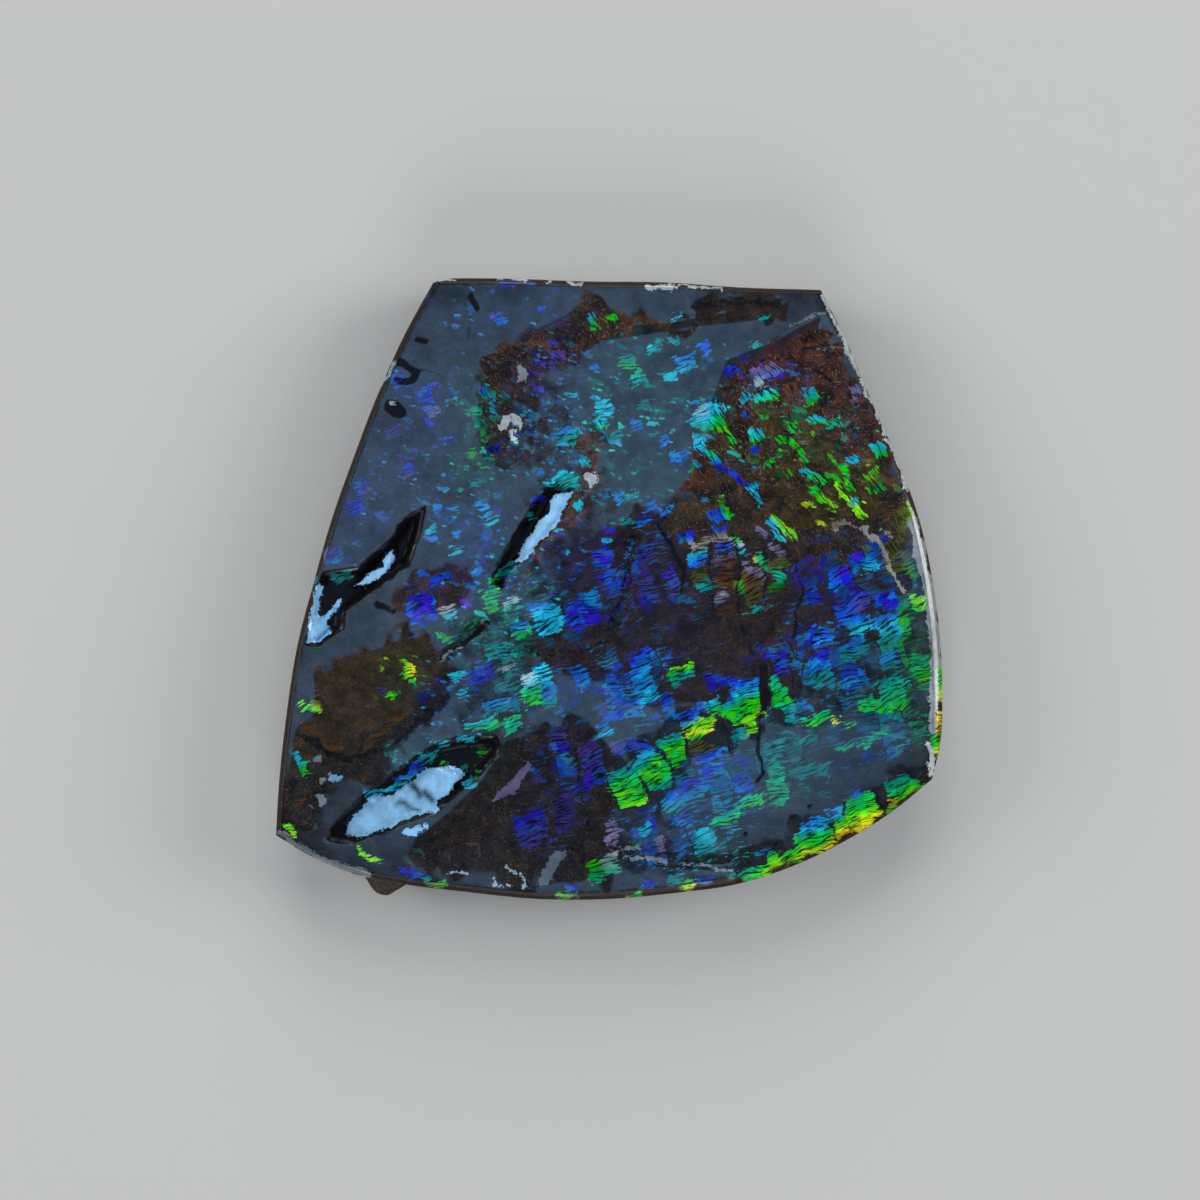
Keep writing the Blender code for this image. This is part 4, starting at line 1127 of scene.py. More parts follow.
CLOUDS: tuple[Cloud, ...] = (
    Cloud(BLUE, FINE, (-15.5, 13.0), (3.0, 5.0), -20.0, 0.42),
    Cloud(VIOLET, FINE, (-18.0, 8.5), (3.0, 5.0), -20.0, 0.5),
    Cloud(BLUE, FINE, (-21.5, 5.0), (2.0, 3.5), -20.0, 0.45),
    Cloud(VIOLET, FINE, (-12.5, 20.5), (3.5, 5.0), 0.0, 0.12),
    Cloud(BLUE, FINE, (-8.0, 23.5), (5.0, 2.5), 0.0, 0.35),
    Cloud(SEA, FINE, (-10.8, 12.5), (2.2, 5.0), 0.0, 0.6),
    Cloud(VIOLET, FINE, (-9.0, 15.5), (2.6, 3.0), 0.0, 0.2),
    Cloud(TEAL, FINE, (-5.0, 12.0), (2.6, 4.0), -20.0, 0.6),
    Cloud(TEAL, FINE, (3.5, 18.5), (5.0, 3.5), 0.0, 0.5),
    Cloud(CYAN, FINE, (-2.0, 14.0), (3.5, 4.0), 0.0, 0.5),
    Cloud(CYAN, FINE, (7.0, 14.5), (3.0, 3.0), 0.0, 0.4),
    Cloud(BLUE, FINE, (-5.0, 14.0), (3.0, 5.0), 0.0, 0.75),
    Cloud(TEAL, FINE, (2.0, 9.0), (4.5, 3.5), 20.0, 0.4),
    Cloud(BLUE, FINE, (13.0, 18.5), (3.5, 2.0), 0.0, 0.4),
    Cloud(GREEN, FINE, (14.5, 13.0), (4.5, 3.5), -30.0, 0.28),
    Cloud(VIOLET, FINE, (12.5, 17.0), (3.5, 2.5), 0.0, 0.45),
    Cloud(SEA, FINE, (16.0, 14.0), (4.5, 2.0), 10.0, 0.3),
    Cloud(LIME, FINE, (19.5, 9.0), (3.0, 3.0), -30.0, 0.25),
    Cloud(VIOLET, FINE, (-4.0, 18.5), (3.0, 1.8), 30.0, 0.5),
    Cloud(BLUE, FINE, (-16.8, 17.2), (1.6, 1.8), 0.0, 0.8),
    Cloud(SEA, COARSE, (-8.0, -1.5), (3.5, 3.5), 20.0, 0.45),
    Cloud(TEAL, COARSE, (-9.5, -7.0), (4.0, 3.5), 20.0, 0.5),
    Cloud(GREEN, COARSE, (25.5, -6.0), (1.4, 6.0), 0.0, 0.5),
    Cloud(CYAN, FINE, (-15.0, -15.0), (5.0, 1.6), 35.0, 0.8),
    Cloud(BLUE, FINE, (20.0, 15.0), (2.0, 3.0), -20.0, 0.2),
    Cloud(BLUE, FINE, (10.5, 9.0), (3.0, 3.0), -40.0, 0.15),
    Cloud(AZURE, FINE, (-7.0, -0.5), (4.0, 4.0), 20.0, 0.5),
    Cloud(BLUE, FINE, (-11.5, 4.5), (3.5, 4.0), 0.0, 0.9),
    Cloud(BLUE, FINE, (-3.0, 4.0), (2.0, 4.0), -30.0, 0.6),
    Cloud(BLUE, FINE, (-14.5, -0.5), (3.0, 2.0), 10.0, 0.6),
    Cloud(TEAL, FINE, (-9.0, -4.5), (3.5, 3.0), 20.0, 0.5),
    Cloud(BLUE, FINE, (-12.5, -8.5), (4.0, 3.0), 30.0, 0.4),
    Cloud(GREEN, FINE, (-17.5, -7.0), (2.5, 2.5), 0.0, 0.15),
    Cloud(TEAL, FINE, (-14.0, -14.5), (5.0, 2.5), 25.0, 0.4),
    Cloud(INDIGO, COARSE, (3.5, 1.5), (5.0, 3.5), 20.0, 0.35),
    Cloud(BLUE, COARSE, (-1.5, -1.5), (4.0, 4.0), 0.0, 0.4),
    Cloud(INDIGO, COARSE, (6.0, -2.5), (4.0, 3.0), 0.0, 0.3),
    Cloud(BLUE, COARSE, (20.5, 0.5), (5.5, 3.5), 20.0, 0.65),
    Cloud(INDIGO, COARSE, (16.5, 2.5), (3.0, 2.5), 20.0, 0.4),
    Cloud(BLUE, COARSE, (14.0, -5.0), (4.0, 2.5), 20.0, 0.4),
    Cloud(BLUE, COARSE, (-3.0, -8.5), (4.5, 3.0), 10.0, 0.4),
    Cloud(AZURE, COARSE, (3.0, -8.0), (4.0, 3.0), 20.0, 0.55),
    Cloud(AZURE, COARSE, (18.5, -6.5), (4.5, 3.5), 20.0, 0.45),
    Cloud(TEAL, COARSE, (23.5, -8.0), (4.5, 4.0), 20.0, 0.5),
    Cloud(TEAL, COARSE, (14.5, -14.0), (4.0, 4.0), 20.0, 0.5),
    Cloud(BLUE, COARSE, (21.0, -12.5), (4.5, 2.5), 20.0, 0.35),
    Cloud(AZURE, COARSE, (8.5, -16.5), (4.5, 4.0), 20.0, 0.6),
    Cloud(BLUE, COARSE, (-4.0, -14.5), (3.0, 3.0), 0.0, 0.4),
    Cloud(VIOLET, COARSE, (-5.5, -20.0), (3.5, 3.0), 0.0, 0.3),
    Cloud(BLUE, COARSE, (3.5, -19.5), (3.5, 3.0), 0.0, 0.45),
    Cloud(CYAN, COARSE, (8.0, -22.0), (4.0, 2.0), 0.0, 0.35),
)

HOLLOW_BRIDGE: Route = (
    (5.5, 7.8), (9.0, 8.2), (16.0, 7.6), (25.2, 8.6), (26.0, 2.4), (18.0, 2.4), (10.0, 3.4), (5.0, 4.6),
)

DARK_OVAL: Route = (
    (5.6, 23.4), (7.6, 24.5), (11.5, 24.8), (15.4, 24.3), (14.4, 22.7), (10.5, 22.3), (7.5, 22.5),
)

ROUGH_BAND: Route = (
    (-12.6, -7.4), (-15.6, -9.0), (-17.0, -11.0), (-20.5, -13.2), (-24.5, -13.4), (-26.6, -17.0),
    (-26.6, -20.6), (-24.2, -20.8), (-23.2, -17.4), (-21.0, -15.8), (-17.6, -14.2), (-15.2, -11.6),
    (-12.6, -9.4),
)

PIT_SIDE_STREAK: Route = (
    (-3.0, 13.0), (-1.0, 13.2), (-0.8, 10.0), (-2.0, 6.6), (-4.6, 3.0), (-7.0, 1.0), (-5.6, 3.4), (-2.9, 8.0),
)

GROUNDS: tuple[Ground, ...] = (
    Ground(
        UMBER,
        ((-6.5, 17.8), (-3.6, 18.0), (-1.0, 13.0), (0.6, 7.0), (-4.4, 3.0), (-6.2, 9.0)), 2.4, 0.5,
    ),
    Ground(DUSK, MIDDLE_HOLLOW, 1.2, 0.4),
    Ground(UMBER, TOP_LEFT_HOLLOW, 0.7, 0.8),
    Ground(GOLDEN, ((-9.2, 20.4), (-5.5, 21.2), (-3.6, 21.0), (-4.6, 19.9), (-8.8, 19.6)), 0.6, 0.9),
    Ground(
        BROWN,
        ((-5.0, 20.2), (-3.0, 23.6), (-1.5, 24.3), (0.6, 23.0), (-0.2, 20.8), (-2.0, 19.8)), 0.6, 0.9,
    ),
    Ground(GOLDEN, ((0.3, 22.9), (4.9, 22.6), (4.6, 21.5), (0.5, 21.1)), 0.5, 0.8),
    Ground(GOLDEN, PIT_SIDE_STREAK, 0.6, 0.9),
    Ground(RUST, UPPER_RIGHT_HOLLOW, 0.9, 1.0),
    Ground(
        BROWN,
        ((8.0, 15.0), (13.0, 13.5), (19.0, 12.5), (24.0, 9.0), (25.0, 6.0), (19.0, 5.0), (9.0, 6.5)),
        3.0, 1.0,
    ),
    Ground(BROWN, HOLLOW_BRIDGE, 1.2, 0.8),
    Ground(UMBER, DARK_OVAL, 0.7, 0.1),
    Ground(BROWN, LEFT_HOLLOW, 0.8, 0.35),
    Ground(SLATE, ROUGH_BAND, 0.9, 0.65),
    Ground(BROWN, PIT_SIDE_HOLLOW, 0.8, 0.5),
    Ground(SLATE, BOTTOM_HOLLOW, 1.0, 0.6),
    Ground(
        UMBER,
        ((10.5, -0.5), (14.0, 0.8), (17.0, -0.4), (18.0, -4.0), (14.5, -7.0), (11.0, -7.6), (9.5, -4.0)),
        1.2, 0.5,
    ),
    Ground(
        UMBER,
        ((2.6, 4.0), (0.6, 4.0), (-0.2, -3.4), (-6.6, -4.6), (-6.6, -6.0), (-1.0, -5.8), (2.0, -1.4)),
        0.8, 0.5,
    ),
)

CLEARINGS: tuple[Clearing, ...] = (
    Clearing(HOLLOW_BRIDGE, 0.08, 1.6),
    Clearing(DARK_OVAL, 0.05, 0.7),
    Clearing(ROUGH_BAND, 0.05, 0.9),
    Clearing(PIT_SIDE_STREAK, 0.2, 0.8),
    # Thin polish between the brown column and the middle of the stone
    Clearing(
        ((-6.5, 17.8), (-3.6, 18.0), (-1.0, 13.0), (0.6, 7.0), (-3.4, 0.4), (-7.6, -1.4), (-6.2, 9.0)),
        0.45, 2.4,
    ),
    Clearing(((-13.0, -3.0), (-6.0, -1.0), (-4.0, -8.0), (-6.5, -13.0), (-12.6, -12.4)), 0.45, 2.0),
    Clearing((
        (-0.6, -15.2), (4.0, -12.0), (8.0, -9.6), (10.0, -8.6), (13.4, -7.0), (15.4, -7.6), (15.6, -10.2),
        (13.2, -11.2), (9.0, -12.9), (5.2, -17.2), (3.0, -19.0), (0.4, -18.8),
    ), 0.03),
    Clearing(
        ((13.5, -2.5), (19.0, -0.5), (26.5, -1.0), (26.8, -10.5), (22.0, -11.2), (16.0, -11.6)), 0.35, 2.4,
    ),
    Clearing(((-1.0, -16.0), (5.0, -19.0), (9.0, -19.0), (9.0, -23.0), (0.0, -23.5), (-1.0, -20.0)), 0.4),
    Clearing((
        (10.0, -25.2), (10.6, -22.6), (15.6, -20.2), (19.2, -17.4), (22.6, -16.2), (26.2, -14.8),
        (27.6, -15.4), (24.4, -18.8), (20.0, -21.8), (15.5, -24.0),
    ), 0.2, 0.8),
    Clearing(((24.4, -1.0), (26.8, 0.6), (28.4, -8.0), (28.2, -14.0), (25.4, -13.4), (24.4, -8.0)), 0.5),
)

SOOT_MARKS: tuple[Crease, ...] = (
    Crease(((-13.9, -5.8), (-12.3, -4.7), (-10.1, -2.7)), 0.5, 1.0),
    Crease(((-26.0, -12.2), (-22.0, -14.2), (-18.0, -13.3), (-15.0, -10.4), (-13.3, -8.9)), 0.8, 0.6),
    Crease(((-17.5, 18.9), (-16.1, 18.2), (-16.6, 17.4), (-17.6, 17.3)), 0.7, 1.0),
    Crease(((-18.4, 15.2), (-17.4, 15.0)), 1.2, 1.0),
    Crease(((-16.0, 20.8), (-15.2, 20.6)), 0.45, 1.0),
    Crease(((-11.6, 24.4), (-11.0, 23.2)), 0.6, 1.0),
    Crease(((-11.4, 22.8), (-11.6, 20.6)), 0.2, 0.7),
    Crease(((-15.7, 18.2), (-14.1, 17.7)), 0.24, 0.8),
    Crease(((-19.4, -1.4), (-18.2, -1.7)), 0.72, 0.8),
    Crease(((11.3, -20.5), (11.5, -20.5)), 0.4, 1.0),
    Crease(((13.9, -21.4), (14.1, -21.4)), 0.4, 1.0),
    Crease(((16.8, -18.2), (17.0, -18.2)), 0.35, 1.0),
    Crease(((15.3, -19.0), (15.5, -19.0)), 0.3, 1.0),
    Crease(((0.0, -15.6), (0.9, -18.5)), 0.24, 0.8),
    Crease(((2.2, -15.1), (3.8, -18.2)), 0.28, 0.8),
    Crease(((3.4, -12.7), (4.0, -13.4), (5.2, -15.0), (5.3, -16.6)), 0.26, 0.8),
    Crease(((5.95, -11.0), (6.7, -14.6)), 0.28, 0.8),
    Crease(((8.9, -10.6), (9.4, -11.2), (10.4, -13.8)), 0.28, 0.8),
    Crease(((12.8, -6.5), (13.1, -9.5)), 0.6, 0.95),
    Crease(((13.2, -9.6), (12.4, -12.0), (12.6, -16.0)), 0.44, 0.8),
    Crease(((15.2, -7.6), (15.6, -10.6)), 0.24, 0.8),
    Crease(((1.8, 4.2), (1.6, 1.0), (1.0, -1.5), (-0.5, -4.5)), 1.1, 0.55),
    Crease(((-0.5, -4.5), (-3.5, -5.5), (-6.5, -5.2)), 1.0, 0.52),
    Crease(((4.2, 5.3), (4.8, 4.2), (6.2, 1.6), (6.2, -0.4)), 0.48, 0.8),
    Crease(((8.4, 5.0), (8.5, 1.0), (8.8, -2.0)), 0.24, 0.75),
    Crease(((10.5, 4.6), (10.9, 1.0), (10.7, -2.4), (12.2, -5.4)), 0.32, 0.75),
    Crease(((13.0, 3.6), (13.2, -1.6), (14.0, -4.0)), 0.24, 0.75),
    Crease(((15.4, 3.4), (16.0, -0.4), (15.4, -4.2)), 0.36, 0.75),
    Crease(((19.4, 2.8), (20.4, 1.1), (21.9, -1.2)), 0.24, 0.8),
    Crease(((17.9, 2.4), (18.4, 0.0), (18.8, -3.6)), 0.24, 0.7),
    Crease(((12.5, 19.2), (15.0, 19.2), (17.0, 18.5), (18.5, 17.3)), 0.28, 0.8),
    Crease(((8.8, 16.0), (10.4, 12.4), (12.6, 8.6)), 0.28, 0.7),
    Crease(((16.6, -8.2), (18.5, -7.4)), 0.24, 0.8),
    Crease(((0.8, -22.1), (4.9, -23.1), (9.5, -23.4)), 0.2, 0.8),
    Crease(((11.5, -23.0), (14.0, -21.8)), 0.2, 0.8),
    Crease(((-2.6, -11.6), (-2.8, -16.0), (-1.6, -19.0), (-2.4, -23.5)), 0.4, 0.6),
    Crease(((0.4, -18.8), (1.4, -21.6), (1.2, -24.6)), 0.28, 0.6),
    Crease(((7.2, 24.0), (10.6, 23.9), (14.0, 23.8)), 0.96, 0.6),
    # Cracks between the bright cells along the lower rim
    Crease(((19.4, -17.9), (20.0, -19.9), (20.6, -20.8)), 0.26, 0.9),
    Crease(((18.3, -19.0), (19.0, -21.2)), 0.24, 0.9),
    Crease(((21.8, -17.0), (23.2, -18.8)), 0.3, 0.9),
)


@dataclass(frozen=True)
class Warp:
    """Noise that moves points about a little, so that no edge is ruled straight."""

    span: float
    reach: float
    seed: int

    def moved(self, points: np.ndarray) -> np.ndarray:
        """Returns the points, moved."""
        x, y = points[:, 0], points[:, 1]
        aside, up = rough(x, y, self.span, self.seed), rough(x, y, self.span, self.seed + 1)
        return points + self.reach * np.stack((aside, up), axis=1)


@dataclass(frozen=True)
class NacrePainting:
    """Where each colour of the face lies, as one value for each point of the mesh."""

    near_warp: Warp = Warp(0.9, 0.28, 31)
    broad_warp: Warp = Warp(3.2, 1.1, 41)
    frayed_warp: Warp = Warp(0.9, 0.8, 51)
    flash_soft: float = 0.9
    mirror_soft: float = 0.7
    soot_soft: float = 0.35
    hollow_gloss: float = 0.05
    hollow_soft: float = 1.3
    hollow_lead: float = 0.4
    soot_gloss: float = 0.05
    crack_cut: float = 0.75
    crazing: float = 0.05
    cloud_fall: float = 0.9
    cloud_power: float = 1.5
    relief: FaceRelief = FaceRelief()

    def paint(self, points: np.ndarray) -> dict[str, np.ndarray]:
        """Works out every value that the finish reads.

        Args:
            points: Places on the face, in millimetres.

        Returns:
            Values by name: one number a point, or three for a colour.
        """
        near = self.near_warp.moved(points)
        far = self.frayed_warp.moved(self.broad_warp.moved(points))
        lit, lit_tint = self.lay(near, FLASHES, self.flash_soft)
        # Painted highlights and reflections: their cover and their colour
        painted_highlight, painted_highlight_tint = self.lay(near, PAINTED_HIGHLIGHTS, self.mirror_soft)
        fine, fine_tint = self.clouds(far, FINE)
        coarse, coarse_tint = self.clouds(far, COARSE)
        ground, crazing = self.ground(far)
        marks = self.marks(near)
        soot = np.maximum(self.pits(near), marks)
        return {
            "lit": lit * (1 - self.crack_cut * marks),
            "lit_tint": lit_tint,
            "painted_highlight": painted_highlight,
            "painted_highlight_tint": painted_highlight_tint,
            "fine": fine,
            "fine_tint": fine_tint,
            "coarse": coarse,
            "coarse_tint": coarse_tint,
            "ground": ground,
            "crazing": crazing,
            "soot": soot,
            "gloss": self.gloss(far, soot),
        }

    @staticmethod
    def lay(points: np.ndarray, pieces: Pieces, soft: float) -> tuple[np.ndarray, np.ndarray]:
        """Lays pieces of colour over each other.

        Args:
            points: Places on the face.
            pieces: The pieces, the lowest first.
            soft: Width of a piece's soft edge.

        Returns:
            The cover and the colour at each point.
        """
        covered = np.zeros(len(points))
        tint = np.zeros((len(points), 3))
        for piece in pieces:
            low, high = piece.reach()
            near = np.flatnonzero(((points > low - soft) & (points < high + soft)).all(axis=1))
            share = cover(piece.edge(points[near]), soft)
            total = share + covered[near] * (1 - share)
            over = share / np.maximum(total, TINY)
            tint[near] += (piece.colour(points[near]) - tint[near]) * over[:, None]
            covered[near] = total
        return covered, tint

    def clouds(self, points: np.ndarray, grain: Grain) -> tuple[np.ndarray, np.ndarray]:
        """Gathers the clouds of loose flakes of one grain.

        Args:
            points: Places on the face.
            grain: Which flakes.

        Returns:
            Their density and their mixed colour at each point.
        """
        total = np.zeros(len(points))
        tint = np.zeros((len(points), 3))
        clear = np.ones(len(points))
        for cloud in CLOUDS:
            if cloud.grain is not grain:
                continue
            turn = math.radians(cloud.turn)
            dx, dy = points[:, 0] - cloud.centre[0], points[:, 1] - cloud.centre[1]
            a = (dx * math.cos(turn) + dy * math.sin(turn)) / cloud.reach[0]
            b = (dy * math.cos(turn) - dx * math.sin(turn)) / cloud.reach[1]
            weight = cloud.density * np.exp(-self.cloud_fall * (a * a + b * b) ** self.cloud_power)
            total += weight
            clear *= 1 - weight
            tint += weight[:, None] * np.array(cloud.hue.value)
        return 1 - clear, tint / np.maximum(total, TINY)[:, None]

    def ground(self, points: np.ndarray) -> tuple[np.ndarray, np.ndarray]:
        """Lays the ground between the flashes.

        Args:
            points: Places on the face.

        Returns:
            The colour at each point, and how crazed it is there.
        """
        tint = np.tile(np.array(SHADOW.value), (len(points), 1))
        crazing = np.full(len(points), self.crazing)
        for patch in GROUNDS:
            share = cover(depth_inside(points, patch.outline), patch.soft)
            tint += (np.array(patch.hue.value) - tint) * share[:, None]
            crazing += (patch.crazing - crazing) * share
        return tint, crazing

    def pits(self, points: np.ndarray) -> np.ndarray:
        """Returns how much of each point is the black fill of a pit."""
        insides = [depth_inside(points, pit.outline) for pit in self.relief.pits]
        return cover(np.max(insides, axis=0), self.soot_soft)

    def marks(self, points: np.ndarray) -> np.ndarray:
        """Lays the cracks and the black marks.

        Args:
            points: Places on the face.

        Returns:
            How much of each point is a crack or a mark.
        """
        dark = np.zeros(len(points))
        for mark in SOOT_MARKS:
            edge = mark.width / 2 - distance_to(points, mark.route)
            dark = np.maximum(dark, mark.depth * cover(edge, self.soot_soft))
        return dark

    def gloss(self, points: np.ndarray, soot: np.ndarray) -> np.ndarray:
        """Works out how milky and flat the polish is.

        Args:
            points: Places on the face.
            soot: How black each point is.

        Returns:
            The gloss at each point, 1 where it is full.
        """
        gloss = np.ones(len(points))
        for hollow in self.relief.hollows:
            inside = ease(depth_inside(points, hollow.outline) / self.hollow_soft + self.hollow_lead)
            gloss = np.minimum(gloss, 1 - (1 - self.hollow_gloss) * inside)
        for clearing in CLEARINGS:
            inside = cover(depth_inside(points, clearing.outline), clearing.soft)
            gloss = np.minimum(gloss, 1 - (1 - clearing.gloss) * inside)
        return np.minimum(gloss, 1 - (1 - self.soot_gloss) * soot)


@dataclass(frozen=True)
class Noise:
    """One shader noise: its lumps a millimetre, detail and harshness."""

    scale: float
    detail: float = 2.0
    harshness: float = 0.5


class Graph:
    """Short ways to lay shader nodes."""

    def __init__(self, material: bpy.types.Material) -> None:
        """Starts on a material's own tree.

        Args:
            material: The material, with its default shader.
        """
        self.tree = material.node_tree
        self.shader = self.tree.nodes["Principled BSDF"]

    def feed(self, socket: Socket, value: object) -> None:
        """Links a socket to an input, or sets the input's constant."""
        if isinstance(value, bpy.types.NodeSocket):
            self.tree.links.new(value, socket)
        elif value is not None:
            socket.default_value = value

    def math(self, kind: str, a: object, b: object = None, c: object = None, clamp: bool = False) -> Socket:
        """Returns the result of a Math node."""
        node = self.tree.nodes.new("ShaderNodeMath")
        node.operation = kind
        node.use_clamp = clamp
        for socket, value in zip(node.inputs, (a, b, c)):
            self.feed(socket, value)
        return node.outputs[0]

    def product(self, first: object, *others: object) -> Socket:
        """Returns the product of several values."""
        for other in others:
            first = self.math("MULTIPLY", first, other)
        return first

    def total(self, first: object, *others: object) -> Socket:
        """Returns the sum of several values."""
        for other in others:
            first = self.math("ADD", first, other)
        return first

    def line(self, value: object, slope: object, offset: object) -> Socket:
        """Returns a value times a slope, plus an offset."""
        return self.math("MULTIPLY_ADD", value, slope, offset)

    def centred(self, value: object, reach: float) -> Socket:
        """Returns a value from 0 to 1, spread over a reach about 0."""
        return self.line(value, reach, -reach / 2)

    def vector(self, kind: str, a: object, b: object = None) -> Socket:
        """Returns the result of a Vector Math node."""
        node = self.tree.nodes.new("ShaderNodeVectorMath")
        node.operation = kind
        self.feed(node.inputs[0], a)
        self.feed(node.inputs["Scale" if kind == "SCALE" else 1], b)
        return node.outputs[0]

    def split(self, vector: Socket) -> tuple[Socket, Socket, Socket]:
        """Returns a vector's or a colour's three parts."""
        node = self.tree.nodes.new("ShaderNodeSeparateXYZ")
        self.feed(node.inputs[0], vector)
        return node.outputs[0], node.outputs[1], node.outputs[2]

    def join(self, x: object, y: object, z: object = 0.0) -> Socket:
        """Returns a vector of three parts."""
        node = self.tree.nodes.new("ShaderNodeCombineXYZ")
        for socket, value in zip(node.inputs, (x, y, z)):
            self.feed(socket, value)
        return node.outputs[0]

    def step(
        self, value: object, low: float, high: float, to_low: float = 0.0, to_high: float = 1.0
    ) -> Socket:
        """Returns a value moved smoothly from one range to another."""
        node = self.tree.nodes.new("ShaderNodeMapRange")
        node.interpolation_type = "SMOOTHSTEP"
        for socket, item in zip(node.inputs, (value, low, high, to_low, to_high)):
            self.feed(socket, item)
        return node.outputs[0]

    def mix(self, share: object, a: object, b: object) -> Socket:
        """Returns two colours mixed."""
        node = self.tree.nodes.new("ShaderNodeMix")
        node.data_type = "RGBA"
        self.feed(node.inputs["Factor"], share)
        self.feed(node.inputs[6], a)
        self.feed(node.inputs[7], b)
        return node.outputs[2]

    def value(self, name: str) -> Socket:
        """Returns one of the mesh's attributes as a number."""
        return self.attribute(name).outputs["Fac"]

    def colour(self, name: str) -> Socket:
        """Returns one of the mesh's attributes as a colour."""
        return self.attribute(name).outputs["Color"]

    def attribute(self, name: str) -> bpy.types.Node:
        """Returns a node that reads one of the mesh's attributes."""
        node = self.tree.nodes.new("ShaderNodeAttribute")
        node.attribute_name = name
        return node

    def noise(self, place: object, noise: Noise, output: str = "Fac") -> Socket:
        """Returns one output of a Noise node."""
        node = self.tree.nodes.new("ShaderNodeTexNoise")
        self.feed(node.inputs["Vector"], place)
        node.inputs["Scale"].default_value = noise.scale
        node.inputs["Detail"].default_value = noise.detail
        node.inputs["Roughness"].default_value = noise.harshness
        return node.outputs[output]

    def drift(self, place: object, scale: float, reach: float) -> Socket:
        """Returns the place moved about by up to about half of the reach."""
        wander = self.vector("SUBTRACT", self.noise(place, Noise(scale), "Color"), (0.5, 0.5, 0.5))
        return self.vector("ADD", place, self.vector("SCALE", wander, reach))

    def cells(
        self, place: object, feature: str = "F1", boxy: bool = False, spread: float = 1.0
    ) -> bpy.types.Node:
        """Returns a Voronoi node."""
        node = self.tree.nodes.new("ShaderNodeTexVoronoi")
        node.voronoi_dimensions = "2D"
        node.feature = feature
        node.distance = "CHEBYCHEV" if boxy else "EUCLIDEAN"
        self.feed(node.inputs["Vector"], place)
        node.inputs["Scale"].default_value = 1.0
        node.inputs["Randomness"].default_value = spread
        return node

    def turned(self, place: object, degrees: float) -> Socket:
        """Returns the place in axes turned about Z."""
        node = self.tree.nodes.new("ShaderNodeMapping")
        node.vector_type = "TEXTURE"
        self.feed(node.inputs["Vector"], place)
        node.inputs["Rotation"].default_value = (0.0, 0.0, math.radians(degrees))
        return node.outputs[0]

    def hue_shift(self, colour: object, hue: object, value: object) -> Socket:
        """Returns a colour with its hue and its brightness changed."""
        node = self.tree.nodes.new("ShaderNodeHueSaturation")
        self.feed(node.inputs["Hue"], hue)
        self.feed(node.inputs["Value"], value)
        self.feed(node.inputs["Color"], colour)
        return node.outputs[0]

    def bump(self, height: object, distance: float, strength: object) -> Socket:
        """Returns a normal bent by a height, whose distance is in metres."""
        node = self.tree.nodes.new("ShaderNodeBump")
        node.inputs["Distance"].default_value = distance
        self.feed(node.inputs["Strength"], strength)
        self.feed(node.inputs["Height"], height)
        return node.outputs[0]


